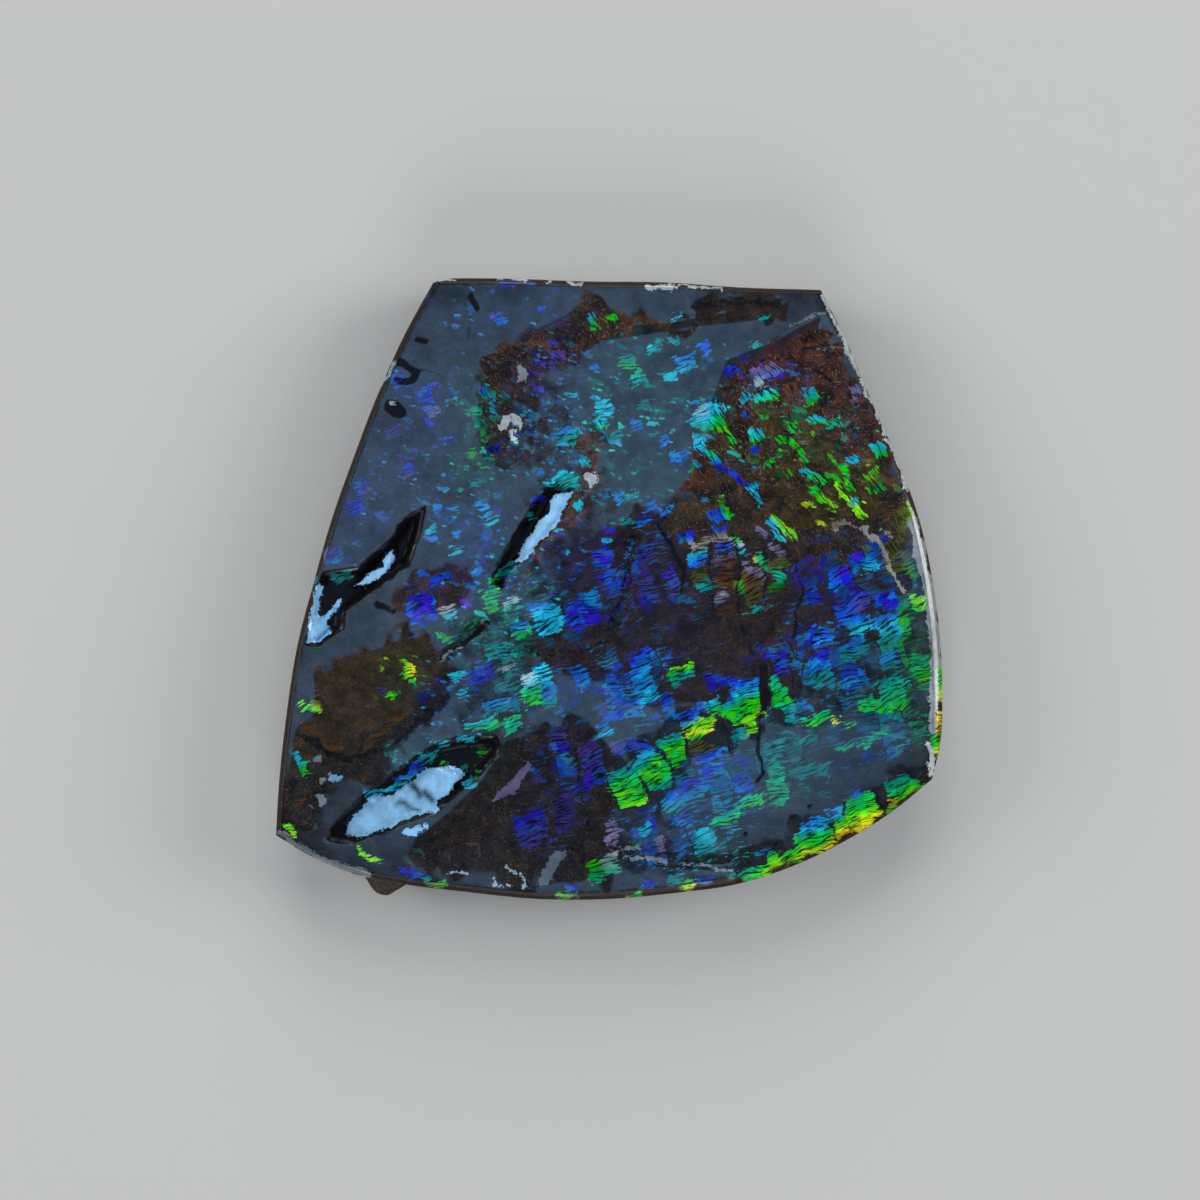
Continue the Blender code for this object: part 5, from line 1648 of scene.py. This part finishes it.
@dataclass(frozen=True)
class NacreFinish:
    """Crushed nacre under a clear polish, running into dull matrix at the sides."""

    ragged: Noise = Noise(2.8, 4.0, 0.7)
    mottle: Noise = Noise(0.8, 5.0, 0.62)
    grain: Noise = Noise(5.0, 3.0, 0.6)
    crumb: Noise = Noise(3.0, 6.0, 0.72)
    haze: Noise = Noise(0.16, 3.0, 0.55)
    sheet: Noise = Noise(0.7, 4.0, 0.6)
    streak: Noise = Noise(1.0, 2.0, 0.6)
    fold: Noise = Noise(0.8)

    # A bend's lumps a millimetre, and its reach
    broad_bend: Point = (0.25, 2.0)
    fine_bend: Point = (1.3, 0.3)
    chip_bend: Point = (2.4, 0.35)
    sheet_bend: Point = (0.4, 3.0)
    fold_bend: Point = (0.3, 5.0)

    # Where a soft step starts and where it ends
    wrinkle_band: Point = (0.6, 0.85)
    cell_crack: Point = (0.02, 0.08)
    cell_band: Point = (0.98, 1.24)
    chip_crack: Point = (0.0, 0.12)
    flake_edge: Point = (0.34, 0.5)
    lit_band: Point = (0.4, 0.55)
    soot_band: Point = (0.45, 0.65)
    mirror_band: Point = (0.46, 0.56)
    rim_band: Point = (0.35, 0.6)
    rock_band: Point = (0.42, 0.58)

    hatch_pitch: float = 0.38
    hatch_stretch: float = 0.75
    cell_size: Point = (2.2, 2.6)
    cell_spread: float = 0.45
    chip_size: Point = (0.95, 0.75)
    chip_spread: float = 0.8
    flake_size: float = 0.85
    fleck_size: float = 0.34
    flake_share: float = 0.3
    gap_share: float = 0.03
    fold_count: float = 90.0
    coarse_shade: float = 0.72
    lit_metal: float = 0.2
    mirror_metal: float = 0.15
    roughness: float = 0.32
    mirror_smoothing: float = 0.12
    rock_roughness: float = 0.5
    rim_gloss: float = 0.15
    coat_roughness: float = 0.1
    specular: float = 0.12
    hatch_relief: float = 0.5
    grain_relief: float = 0.5
    crumb_relief: float = 4.0
    bump_depth: float = 0.00004
    bump_strength: float = 0.7
    # Colour of the painted light on the tops of the ground's wrinkled sheets
    sheet_painted_light: Colour = (0.12, 0.045, 0.015)
    fibre: Colour = (0.22, 0.13, 0.09)
    rock_dark: Colour = (0.022, 0.018, 0.014)
    rock_light: Colour = (0.12, 0.095, 0.07)
    rim_dark: Colour = (0.012, 0.009, 0.009)

    def material(self) -> bpy.types.Material:
        """Returns the material."""
        material = bpy.data.materials.new("nacre_under_polish")
        material.use_nodes = True
        g = Graph(material)
        coordinates = g.tree.nodes.new("ShaderNodeTexCoord").outputs["Object"]
        place = g.vector("SCALE", coordinates, 1 / MM)
        bent = g.drift(g.drift(place, *self.broad_bend), *self.fine_bend)
        ragged = g.noise(place, self.ragged)
        mottle = g.noise(place, self.mottle)
        grain = g.noise(place, self.grain)
        crumb = g.noise(place, self.crumb)
        hatch = self.hatch(g, bent, HATCH_TURN)
        crossing = g.math("SUBTRACT", self.hatch(g, bent, WRINKLE_TURN), hatch)
        hatch = g.line(crossing, g.step(g.value("crazing"), *self.wrinkle_band), hatch)
        chipped = g.drift(bent, *self.chip_bend)
        chips = self.broken(g, chipped, self.chip_size, self.chip_spread, self.chip_crack)

        colour = self.ground(g, place, mottle, grain)
        colour = self.coarse_layer(g, colour, bent, hatch, mottle, chips)
        for size in (self.flake_size, self.fleck_size):
            colour = self.fine_layer(g, colour, place, mottle, hatch, size)
        lit, colour = self.lit_layer(g, colour, hatch, ragged, chips)
        colour = self.soot_layer(g, colour, lit, ragged)
        painted_highlight, colour = self.painted_highlight_layer(g, colour, mottle, grain, ragged)
        rim, colour = self.rim_layer(g, colour, painted_highlight, grain, ragged)
        rock, colour = self.rock_layer(g, colour, crumb, ragged)
        g.feed(g.shader.inputs["Base Color"], colour)
        self.shine(g, lit, painted_highlight, rock)
        self.polish(g, place, mottle, rim, rock)

        relief = g.line(hatch, self.hatch_relief, g.product(grain, self.grain_relief))
        relief = g.total(relief, g.product(crumb, rock, self.crumb_relief))
        strength = g.product(g.math("SUBTRACT", 1.0, painted_highlight), self.bump_strength)
        g.feed(g.shader.inputs["Normal"], g.bump(relief, self.bump_depth, strength))
        return material

    def shine(self, g: Graph, lit: Socket, painted_highlight: Socket, rock: Socket) -> None:
        """Sets the lustre of the nacre, and the roughness of nacre and rock.

        Args:
            g: The material's graph.
            lit: Cover of the bright cells.
            painted_highlight: Cover of the glints.
            rock: Cover of the rock.
        """
        lustre = g.math("MAXIMUM", g.product(lit, self.lit_metal), g.product(painted_highlight, self.mirror_metal))
        g.feed(g.shader.inputs["Metallic"], g.product(lustre, g.math("SUBTRACT", 1.0, rock)))
        smooth = g.line(painted_highlight, -self.mirror_smoothing, self.roughness)
        g.feed(g.shader.inputs["Roughness"], g.line(rock, self.rock_roughness, smooth))
        g.shader.inputs["Specular IOR Level"].default_value = self.specular

    def polish(self, g: Graph, place: Socket, mottle: Socket, rim: Socket, rock: Socket) -> None:
        """Sets the clear polish, which is fainter in hollows and absent on the rock.

        Args:
            g: The material's graph.
            place: The place, in millimetres.
            mottle: Broad noise.
            rim: How much of the bevel shows.
            rock: Cover of the rock.
        """
        feathered = g.total(g.value("gloss"), g.centred(mottle, 0.9))
        gloss = g.product(
            g.step(feathered, 0.15, 0.85, 0.04, 1.0),
            g.step(mottle, 0.25, 0.75, 0.86, 1.02),
            g.step(rim, 0.0, 1.0, 1.0, self.rim_gloss),
            g.step(g.noise(place, self.haze), 0.35, 0.65, 0.7, 1.05),
        )
        weight = g.math("MULTIPLY", gloss, g.math("SUBTRACT", 1.0, rock), clamp=True)
        g.feed(g.shader.inputs["Coat Weight"], weight)
        g.shader.inputs["Coat Roughness"].default_value = self.coat_roughness

    def hatch(self, g: Graph, bent: Socket, degrees: float) -> Socket:
        """Makes the nacre's growth lines: bright dashes with dark gaps.

        Args:
            g: The material's graph.
            bent: The place, moved about a little.
            degrees: How steeply the lines rise to the right.

        Returns:
            A value round 0.5, highest on the dashes.
        """
        along, across, _ = g.split(g.turned(bent, degrees))
        pitch = g.math("DIVIDE", across, self.hatch_pitch / 2)
        streak = g.noise(g.join(g.product(along, self.hatch_stretch), pitch), self.streak)
        return g.line(streak, 3.0, -1.0)

    @staticmethod
    def broken(g: Graph, place: Socket, size: Point, spread: float, crack: Point) -> tuple[Socket, ...]:
        """Breaks the nacre into square pieces along its growth lines.

        Args:
            g: The material's graph.
            place: The place, moved about a little.
            size: Width and height of a piece.
            spread: How unevenly the pieces lie, from 0 to 1.
            crack: Where the soft step from a crack to a whole piece starts and ends.

        Returns:
            Three random numbers for each piece, and how whole it is, which falls to 0 at its cracks.
        """
        along, across, _ = g.split(g.turned(place, HATCH_TURN))
        lattice = g.join(g.math("DIVIDE", along, size[0]), g.math("DIVIDE", across, size[1]))
        piece = g.cells(lattice, "F1", True, spread)
        second = g.cells(lattice, "F2", True, spread).outputs["Distance"]
        whole = g.step(g.math("SUBTRACT", second, piece.outputs["Distance"]), *crack)
        return *g.split(piece.outputs["Color"]), whole

    def ground(self, g: Graph, place: Socket, mottle: Socket, grain: Socket) -> Socket:
        """Makes the ground's colour: grainy, and where the nacre is broken up, crazed with fibres and given
        painted shade in the valleys and painted light on the tops of its wrinkled sheets.

        Args:
            g: The material's graph.
            place: The place, in millimetres.
            mottle: Broad noise.
            grain: Fine noise.

        Returns:
            The colour.
        """
        shade = g.product(g.step(mottle, 0.28, 0.75, 0.5, 1.7), g.step(grain, 0.3, 0.7, 0.7, 1.35))
        tint = g.vector("SCALE", g.colour("ground"), shade)
        crazing = g.value("crazing")
        # Painted shade and painted light: the wrinkled sheets get dark valleys and lit tops in colour only,
        # as the bump has no sheets
        sheet = g.noise(g.drift(place, *self.sheet_bend), self.sheet)
        valley = g.product(g.step(sheet, 0.36, 0.56, 1.0, 0.0), crazing, 0.8)
        tint = g.mix(valley, tint, (*SOOT.value, 1.0))
        glow = g.product(g.step(sheet, 0.52, 0.7), g.math("POWER", crazing, 2.0), 0.35)
        tint = g.mix(glow, tint, (*self.sheet_painted_light, 1.0))
        along, across, _ = g.split(g.turned(g.drift(place, *self.fold_bend), WRINKLE_TURN))
        fold = g.noise(g.join(g.product(along, 0.3), across), self.fold)
        thread = g.step(g.math("SINE", g.product(fold, self.fold_count)), 0.78, 1.0)
        fibre = g.product(thread, g.math("POWER", crazing, 2.0), g.step(grain, 0.4, 0.65))
        return g.mix(g.product(fibre, 0.9), tint, (*self.fibre, 1.0))

    def coarse_layer(
        self, g: Graph, under: Socket, bent: Socket, hatch: Socket, mottle: Socket, chips: tuple[Socket, ...]
    ) -> Socket:
        """Lays the large hatched cells of nacre over the ground.

        Args:
            g: The material's graph.
            under: Colour of the ground.
            bent: The place, moved about a little.
            hatch: The growth lines.
            mottle: Broad noise.
            chips: What the chips give.

        Returns:
            The colour with the cells on it.
        """
        chance, turn, bright, whole = self.broken(
            g, bent, self.cell_size, self.cell_spread, self.cell_crack
        )
        density = g.product(g.value("coarse"), g.line(chance, 1.1, 0.45))
        lines = g.total(hatch, g.centred(mottle, 1.2), g.centred(chips[0], 0.5))
        lit = g.step(g.total(lines, density), *self.cell_band)
        lit = g.product(lit, whole, g.step(chips[3], 0.0, 1.0, 0.5, 1.0), g.step(density, 0.04, 0.2))
        hue = g.total(g.line(turn, 0.05, 0.435), g.product(chips[1], 0.05))
        value = g.line(bright, 0.5, 0.4)
        value = g.product(value, g.line(chips[2], 0.7, 0.6), self.coarse_shade)
        tint = g.hue_shift(g.colour("coarse_tint"), hue, value)
        glow = g.product(g.value("coarse"), whole, 0.06)
        return g.mix(lit, g.mix(glow, under, tint), tint)

    def fine_layer(
        self, g: Graph, under: Socket, place: Socket, mottle: Socket, hatch: Socket, size: float
    ) -> Socket:
        """Lays small loose flakes of nacre of one size over what is under them.

        Args:
            g: The material's graph.
            under: Colour of what is under them.
            place: The place, in millimetres.
            mottle: Broad noise, which gathers them in clusters.
            hatch: The growth lines.
            size: Size of a flake, in millimetres.

        Returns:
            The colour with the flakes on it.
        """
        torn = g.drift(g.drift(place, 0.9 / size, 1.2 * size), 3.6 / size, 0.35 * size)
        along, across, _ = g.split(g.turned(torn, HATCH_TURN - 35.0))
        lattice = g.join(g.product(along, 0.6 / size), g.product(across, 1.4 / size))
        flake = g.cells(lattice)
        chance, turn, bright = g.split(flake.outputs["Color"])
        density = g.product(g.value("fine"), g.step(mottle, 0.38, 0.62, 0.25, 1.9))
        full = g.step(g.math("SUBTRACT", g.product(density, self.flake_share), chance), -0.02, 0.05)
        edge = g.step(flake.outputs["Distance"], *self.flake_edge, 1.0, 0.0)
        lit = g.product(full, edge, g.step(hatch, 0.2, 0.6, 0.5, 1.0))
        hue = g.line(turn, 0.16, 0.4)
        value = g.line(g.math("POWER", bright, 2.2), 1.1, 0.2)
        tint = g.hue_shift(g.colour("fine_tint"), hue, value)
        return g.mix(g.product(density, 0.03), g.mix(lit, under, tint), g.colour("fine_tint"))

    def lit_layer(
        self, g: Graph, under: Socket, hatch: Socket, ragged: Socket, chips: tuple[Socket, ...]
    ) -> tuple[Socket, Socket]:
        """Lays the bright cells.

        Args:
            g: The material's graph.
            under: Colour of what is under them.
            hatch: The growth lines.
            ragged: Harsh noise, which tears their edges.
            chips: What the chips give.

        Returns:
            The cells' cover, and the colour with them on it.
        """
        torn = g.total(g.product(ragged, 1.4), g.product(hatch, 0.5), g.product(chips[0], 0.3))
        shown = g.step(g.total(g.value("lit"), g.math("SUBTRACT", torn, 1.1)), *self.lit_band)
        lines = g.step(hatch, 0.15, 0.6, self.gap_share, 1.15)
        cracks = g.step(chips[3], 0.0, 1.0, 0.65, 1.0)
        value = g.product(lines, g.line(chips[2], 0.5, 0.7), cracks)
        hue = g.line(chips[1], 0.05, 0.475)
        tint = g.hue_shift(g.colour("lit_tint"), hue, value)
        return g.product(shown, lines), g.mix(shown, under, tint)

    def soot_layer(self, g: Graph, under: Socket, lit: Socket, ragged: Socket) -> Socket:
        """Lays the black fill of pits and cracks, which spares most of the bright cells.

        Args:
            g: The material's graph.
            under: Colour of what is under it.
            lit: Cover of the bright cells.
            ragged: Harsh noise, which tears its edges.

        Returns:
            The colour with the fill on it.
        """
        filled = g.step(g.total(g.value("soot"), g.centred(ragged, 1.3)), *self.soot_band)
        dark = g.product(filled, g.step(lit, 0.0, 1.0, 1.0, 0.35))
        return g.mix(dark, under, (*SOOT.value, 1.0))

    def painted_highlight_layer(
        self, g: Graph, under: Socket, mottle: Socket, grain: Socket, ragged: Socket
    ) -> tuple[Socket, Socket]:
        """Lays the painted highlights: the glints, the pits' reflections and the loose pale patches.

        Args:
            g: The material's graph.
            under: Colour of what is under them.
            mottle: Broad noise.
            grain: Fine noise, which tears their edges.
            ragged: Harsh noise, which tears them too.

        Returns:
            Their cover, and the colour with them on it.
        """
        torn = g.total(g.product(ragged, 1.7), g.product(grain, 0.8))
        shown = g.step(g.total(g.value("painted_highlight"), g.math("SUBTRACT", torn, 1.25)), *self.mirror_band)
        highlight_colour = g.vector("SCALE", g.colour("painted_highlight_tint"), g.step(mottle, 0.3, 0.7, 0.7, 1.1))
        return shown, g.mix(shown, under, highlight_colour)

    def rock_layer(self, g: Graph, under: Socket, crumb: Socket, ragged: Socket) -> tuple[Socket, Socket]:
        """Lays the dull broken rock of the sides.

        Args:
            g: The material's graph.
            under: Colour of the face and the bevel.
            crumb: Noise of the rock's crumb.
            ragged: Harsh noise, which tears its edge.

        Returns:
            Its cover, and the colour with it on it.
        """
        shown = g.step(g.total(g.value("matrix"), g.centred(ragged, 0.6)), *self.rock_band)
        stone = g.mix(g.step(crumb, 0.32, 0.72), (*self.rock_dark, 1.0), (*self.rock_light, 1.0))
        return shown, g.mix(shown, under, stone)

    def rim_layer(
        self, g: Graph, under: Socket, painted_highlight: Socket, grain: Socket, ragged: Socket
    ) -> tuple[Socket, Socket]:
        """Darkens the bevel, which cuts through the nacre into the dark stone.

        Args:
            g: The material's graph.
            under: Colour of the face.
            painted_highlight: Where the glints are.
            grain: Fine noise.
            ragged: Harsh noise.

        Returns:
            How much of the bevel shows, and the colour with it on it.
        """
        rim = g.step(g.total(g.value("rim"), g.centred(ragged, 0.5)), *self.rim_band)
        rim = g.product(rim, g.math("SUBTRACT", 1.0, painted_highlight), g.step(g.value("lit"), 0.0, 1.0, 1.0, 0.0))
        tint = g.mix(g.step(grain, 0.4, 0.75), (*self.rim_dark, 1.0), g.colour("rim_tint"))
        return rim, g.mix(rim, under, tint)


@dataclass(frozen=True)
class AmmoliteSlab:
    """The whole stone as one closed mesh."""

    columns: int = 280
    rows: int = 258
    face_height: float = 7.5
    bevel_drop: float = 0.55
    bevel_shares: tuple[float, ...] = (0.25, 0.5, 0.75, 1.0)

    # How much of the drop is straight, and how much curves down
    bevel_profile: Point = (0.45, 0.55)
    wall_steps: int = 3
    sharp_angle: float = 32.0
    nacre_lip: float = 0.1
    nacre_depth: float = 0.9
    amber_rim: Route = ((9.0, -26.0), (28.5, -26.0), (28.5, -14.6), (22.0, -18.6), (15.0, -21.8))
    amber_soft: float = 2.0
    outline: Outline = Outline()
    relief: FaceRelief = FaceRelief()
    matrix: Matrix = Matrix()
    painting: NacrePainting = NacrePainting()
    finish: NacreFinish = NacreFinish()

    def face_points(self, inner: list[np.ndarray]) -> np.ndarray:
        """Spreads the face's points between its four edges.

        Args:
            inner: The edges: bottom, right, top and left, counter-clockwise.

        Returns:
            The points, by column and row.
        """
        bottom, right, top, left = inner[0], inner[1], inner[2][::-1], inner[3][::-1]
        u = np.linspace(0.0, 1.0, self.columns + 1)[:, None, None]
        v = np.linspace(0.0, 1.0, self.rows + 1)[None, :, None]
        across = (1 - v) * bottom[:, None] + v * top[:, None]
        up = (1 - u) * left[None] + u * right[None]
        low = (1 - u) * bottom[0] + u * bottom[-1]
        high = (1 - u) * top[0] + u * top[-1]
        return across + up - (1 - v) * low - v * high

    def numbers(self) -> np.ndarray:
        """Returns the numbers of the face's points, by column and row."""
        return np.arange((self.columns + 1) * (self.rows + 1)).reshape(self.columns + 1, self.rows + 1)

    def rim(self) -> np.ndarray:
        """Returns the numbers of the face's outer points, counter-clockwise."""
        at = self.numbers()
        return np.concatenate((at[:-1, 0], at[-1, :-1], at[:0:-1, -1], at[0, :0:-1]))

    def bevel_rings(self, edge: np.ndarray, outline: np.ndarray) -> list[np.ndarray]:
        """Makes the bevel's rings.

        Args:
            edge: The face's edge.
            outline: The stone's outline.

        Returns:
            The rings, from the face's edge down to the outline.
        """
        straight, curved = self.bevel_profile
        rings = []
        for share in self.bevel_shares:
            ring = np.empty_like(edge)
            ring[:, :2] = edge[:, :2] + (outline - edge[:, :2]) * share
            ring[:, 2] = edge[:, 2] - self.bevel_drop * (straight * share + curved * share**3)
            rings.append(ring)
        return rings

    def build(self) -> bpy.types.Object:
        """Builds and dresses the stone.

        Returns:
            The finished piece, riding on the part's only body.
        """
        outer, inner = self.outline.edges(self.columns, self.rows)
        flat = self.face_points(inner).reshape(-1, 2)
        heights = self.face_height + self.relief.heights(flat)
        top = np.column_stack((flat, heights))
        outline = np.concatenate([part[:-1] for part in outer])
        tangent = np.roll(outline, -1, axis=0) - np.roll(outline, 1, axis=0)
        tangent /= np.linalg.norm(tangent, axis=1)[:, None]
        normals = np.stack((-tangent[:, 1], tangent[:, 0]), axis=1)

        rim = self.rim()
        rings = self.bevel_rings(top[rim], outline)
        rings += self.matrix.rings(outline, normals, rings[-1][:, 2], self.wall_steps)
        points = np.concatenate([top, *rings])

        at = self.numbers()
        faces = np.stack((at[:-1, :-1], at[1:, :-1], at[1:, 1:], at[:-1, 1:]), axis=-1).reshape(-1, 4)
        upper = rim
        first = len(top)
        quads = [faces]
        for _ in rings:
            lower = first + np.arange(len(rim))
            quads.append(np.stack((upper, lower, np.roll(lower, -1), np.roll(upper, -1)), axis=-1))
            upper, first = lower, first + len(rim)
        mesh = bpy.data.meshes.new("ammolite_stone")
        mesh.from_pydata((points * MM).tolist(), [], np.concatenate(quads).tolist() + [upper[::-1].tolist()])
        mesh.shade_smooth()
        mesh.set_sharp_from_angle(angle=math.radians(self.sharp_angle))
        mesh.update()
        self.write_painting(mesh, points, heights.min(), len(top))
        stone = bpy.data.objects.new("ammolite_stone", mesh)
        mesh.materials.append(self.finish.material())
        bpy.context.scene.collection.objects.link(stone)
        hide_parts("ammolite_slab")
        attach(stone, "root")
        return stone

    def write_painting(
        self, mesh: bpy.types.Mesh, points: np.ndarray, lowest: float, face_count: int
    ) -> None:
        """Stores the painted values on the mesh.

        Args:
            mesh: The stone.
            points: Its points, in millimetres.
            lowest: The lowest point of the face.
            face_count: How many of the points are on the face.
        """
        values = self.painting.paint(points[:, :2])
        values["matrix"] = ease((lowest - self.nacre_lip - points[:, 2]) / self.nacre_depth)
        values["rim"] = (np.arange(len(points)) >= face_count).astype(float)
        amber = cover(depth_inside(points[:, :2], self.amber_rim), self.amber_soft)[:, None]
        values["rim_tint"] = np.array(RUST.value) * (1 - amber) + np.array(AMBER.value) * amber
        for name, value in values.items():
            if value.ndim == 1:
                layer = mesh.attributes.new(name, "FLOAT", "POINT")
                layer.data.foreach_set("value", value.astype(np.float32))
            else:
                layer = mesh.attributes.new(name, "FLOAT_COLOR", "POINT")
                full = np.column_stack((value, np.ones(len(value))))
                layer.data.foreach_set("color", full.astype(np.float32).ravel())


@dataclass(frozen=True)
class SoftBox:
    """A round soft light, placed by its direction as seen from the stone."""

    name: str
    azimuth: float
    off_axis: float
    distance: float
    width: float
    radiance: float
    tint: Colour

    def build(self) -> None:
        """Adds the light, aimed at the stone."""
        light = bpy.data.lights.new(self.name, "AREA")
        light.shape = "DISK"
        light.size = self.width
        light.color = self.tint
        light.energy = self.radiance * math.pi * math.pi * (self.width / 2) ** 2
        lamp = bpy.data.objects.new(self.name, light)
        tilt, turn = math.radians(self.off_axis), math.radians(self.azimuth)
        lamp.location = (
            self.distance * math.sin(tilt) * math.cos(turn),
            self.distance * math.sin(tilt) * math.sin(turn),
            self.distance * math.cos(tilt),
        )
        lamp.rotation_euler = (tilt, 0.0, turn + math.pi / 2)
        bpy.context.scene.collection.objects.link(lamp)


@dataclass(frozen=True)
class Studio:
    """The floor, the lights and the camera."""

    view_centre: Point = (-0.75, -0.92)
    view_width: float = 100.0
    lens: float = 135.0
    sensor: float = 36.0
    floor_size: float = 1200.0
    floor_colour: Colour = (0.62, 0.62, 0.61)
    floor_roughness: float = 0.9
    world_colour: Colour = (0.05, 0.05, 0.055)
    boxes: tuple[SoftBox, ...] = (
        SoftBox("overhead_box", 90.0, 0.0, 0.9, 0.32, 2.2, (0.3, 0.6, 1.0)),
        SoftBox("key_box", 140.0, 17.0, 0.9, 0.16, 2.4, (1.0, 1.0, 1.0)),
        SoftBox("right_box", 10.0, 62.0, 0.8, 0.5, 5.2, (1.0, 0.99, 0.97)),
        SoftBox("left_box", 170.0, 62.0, 0.8, 0.6, 3.2, (1.0, 0.99, 0.97)),
        SoftBox("back_box", 90.0, 60.0, 0.8, 0.6, 3.4, (1.0, 0.99, 0.97)),
        SoftBox("front_box", 270.0, 60.0, 0.8, 0.6, 2.8, (1.0, 0.99, 0.97)),
    )

    def build(self, face_height: float) -> None:
        """Adds the studio round the stone.

        Args:
            face_height: Height of the face that the camera frames, in millimetres.
        """
        self.floor()
        for box in self.boxes:
            box.build()
        self.camera(face_height)
        scene = bpy.context.scene
        scene.view_settings.view_transform = "Standard"
        world = bpy.data.worlds.new("studio")
        world.use_nodes = True
        background = world.node_tree.nodes["Background"]
        background.inputs["Color"].default_value = (*self.world_colour, 1.0)
        scene.world = world

    def floor(self) -> None:
        """Adds the plain pale floor."""
        half = self.floor_size / 2 * MM
        mesh = bpy.data.meshes.new("floor")
        corners = [(-half, -half, 0), (half, -half, 0), (half, half, 0), (-half, half, 0)]
        mesh.from_pydata(corners, [], [(0, 1, 2, 3)])
        material = bpy.data.materials.new("pale_floor")
        material.use_nodes = True
        shader = material.node_tree.nodes["Principled BSDF"]
        shader.inputs["Base Color"].default_value = (*self.floor_colour, 1.0)
        shader.inputs["Roughness"].default_value = self.floor_roughness
        mesh.materials.append(material)
        floor = bpy.data.objects.new("floor", mesh)
        bpy.context.scene.collection.objects.link(floor)

    def camera(self, face_height: float) -> None:
        """Adds the camera, straight above the face.

        Args:
            face_height: Height of the face that it frames, in millimetres.
        """
        data = bpy.data.cameras.new("camera")
        data.lens = self.lens
        data.sensor_width = self.sensor
        camera = bpy.data.objects.new("camera", data)
        distance = self.view_width * self.lens / self.sensor + face_height
        camera.location = (self.view_centre[0] * MM, self.view_centre[1] * MM, distance * MM)
        bpy.context.scene.collection.objects.link(camera)
        bpy.context.scene.camera = camera


def main() -> None:
    """Builds the stone and its studio in order."""
    logging.basicConfig(level=logging.INFO, format="%(name)s: %(message)s")
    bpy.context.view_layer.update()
    slab = AmmoliteSlab()
    stone = slab.build()
    LOG.info("%s has %d faces", stone.name, len(stone.data.polygons))
    Studio().build(slab.face_height)


if __name__ == "__main__":
    main()
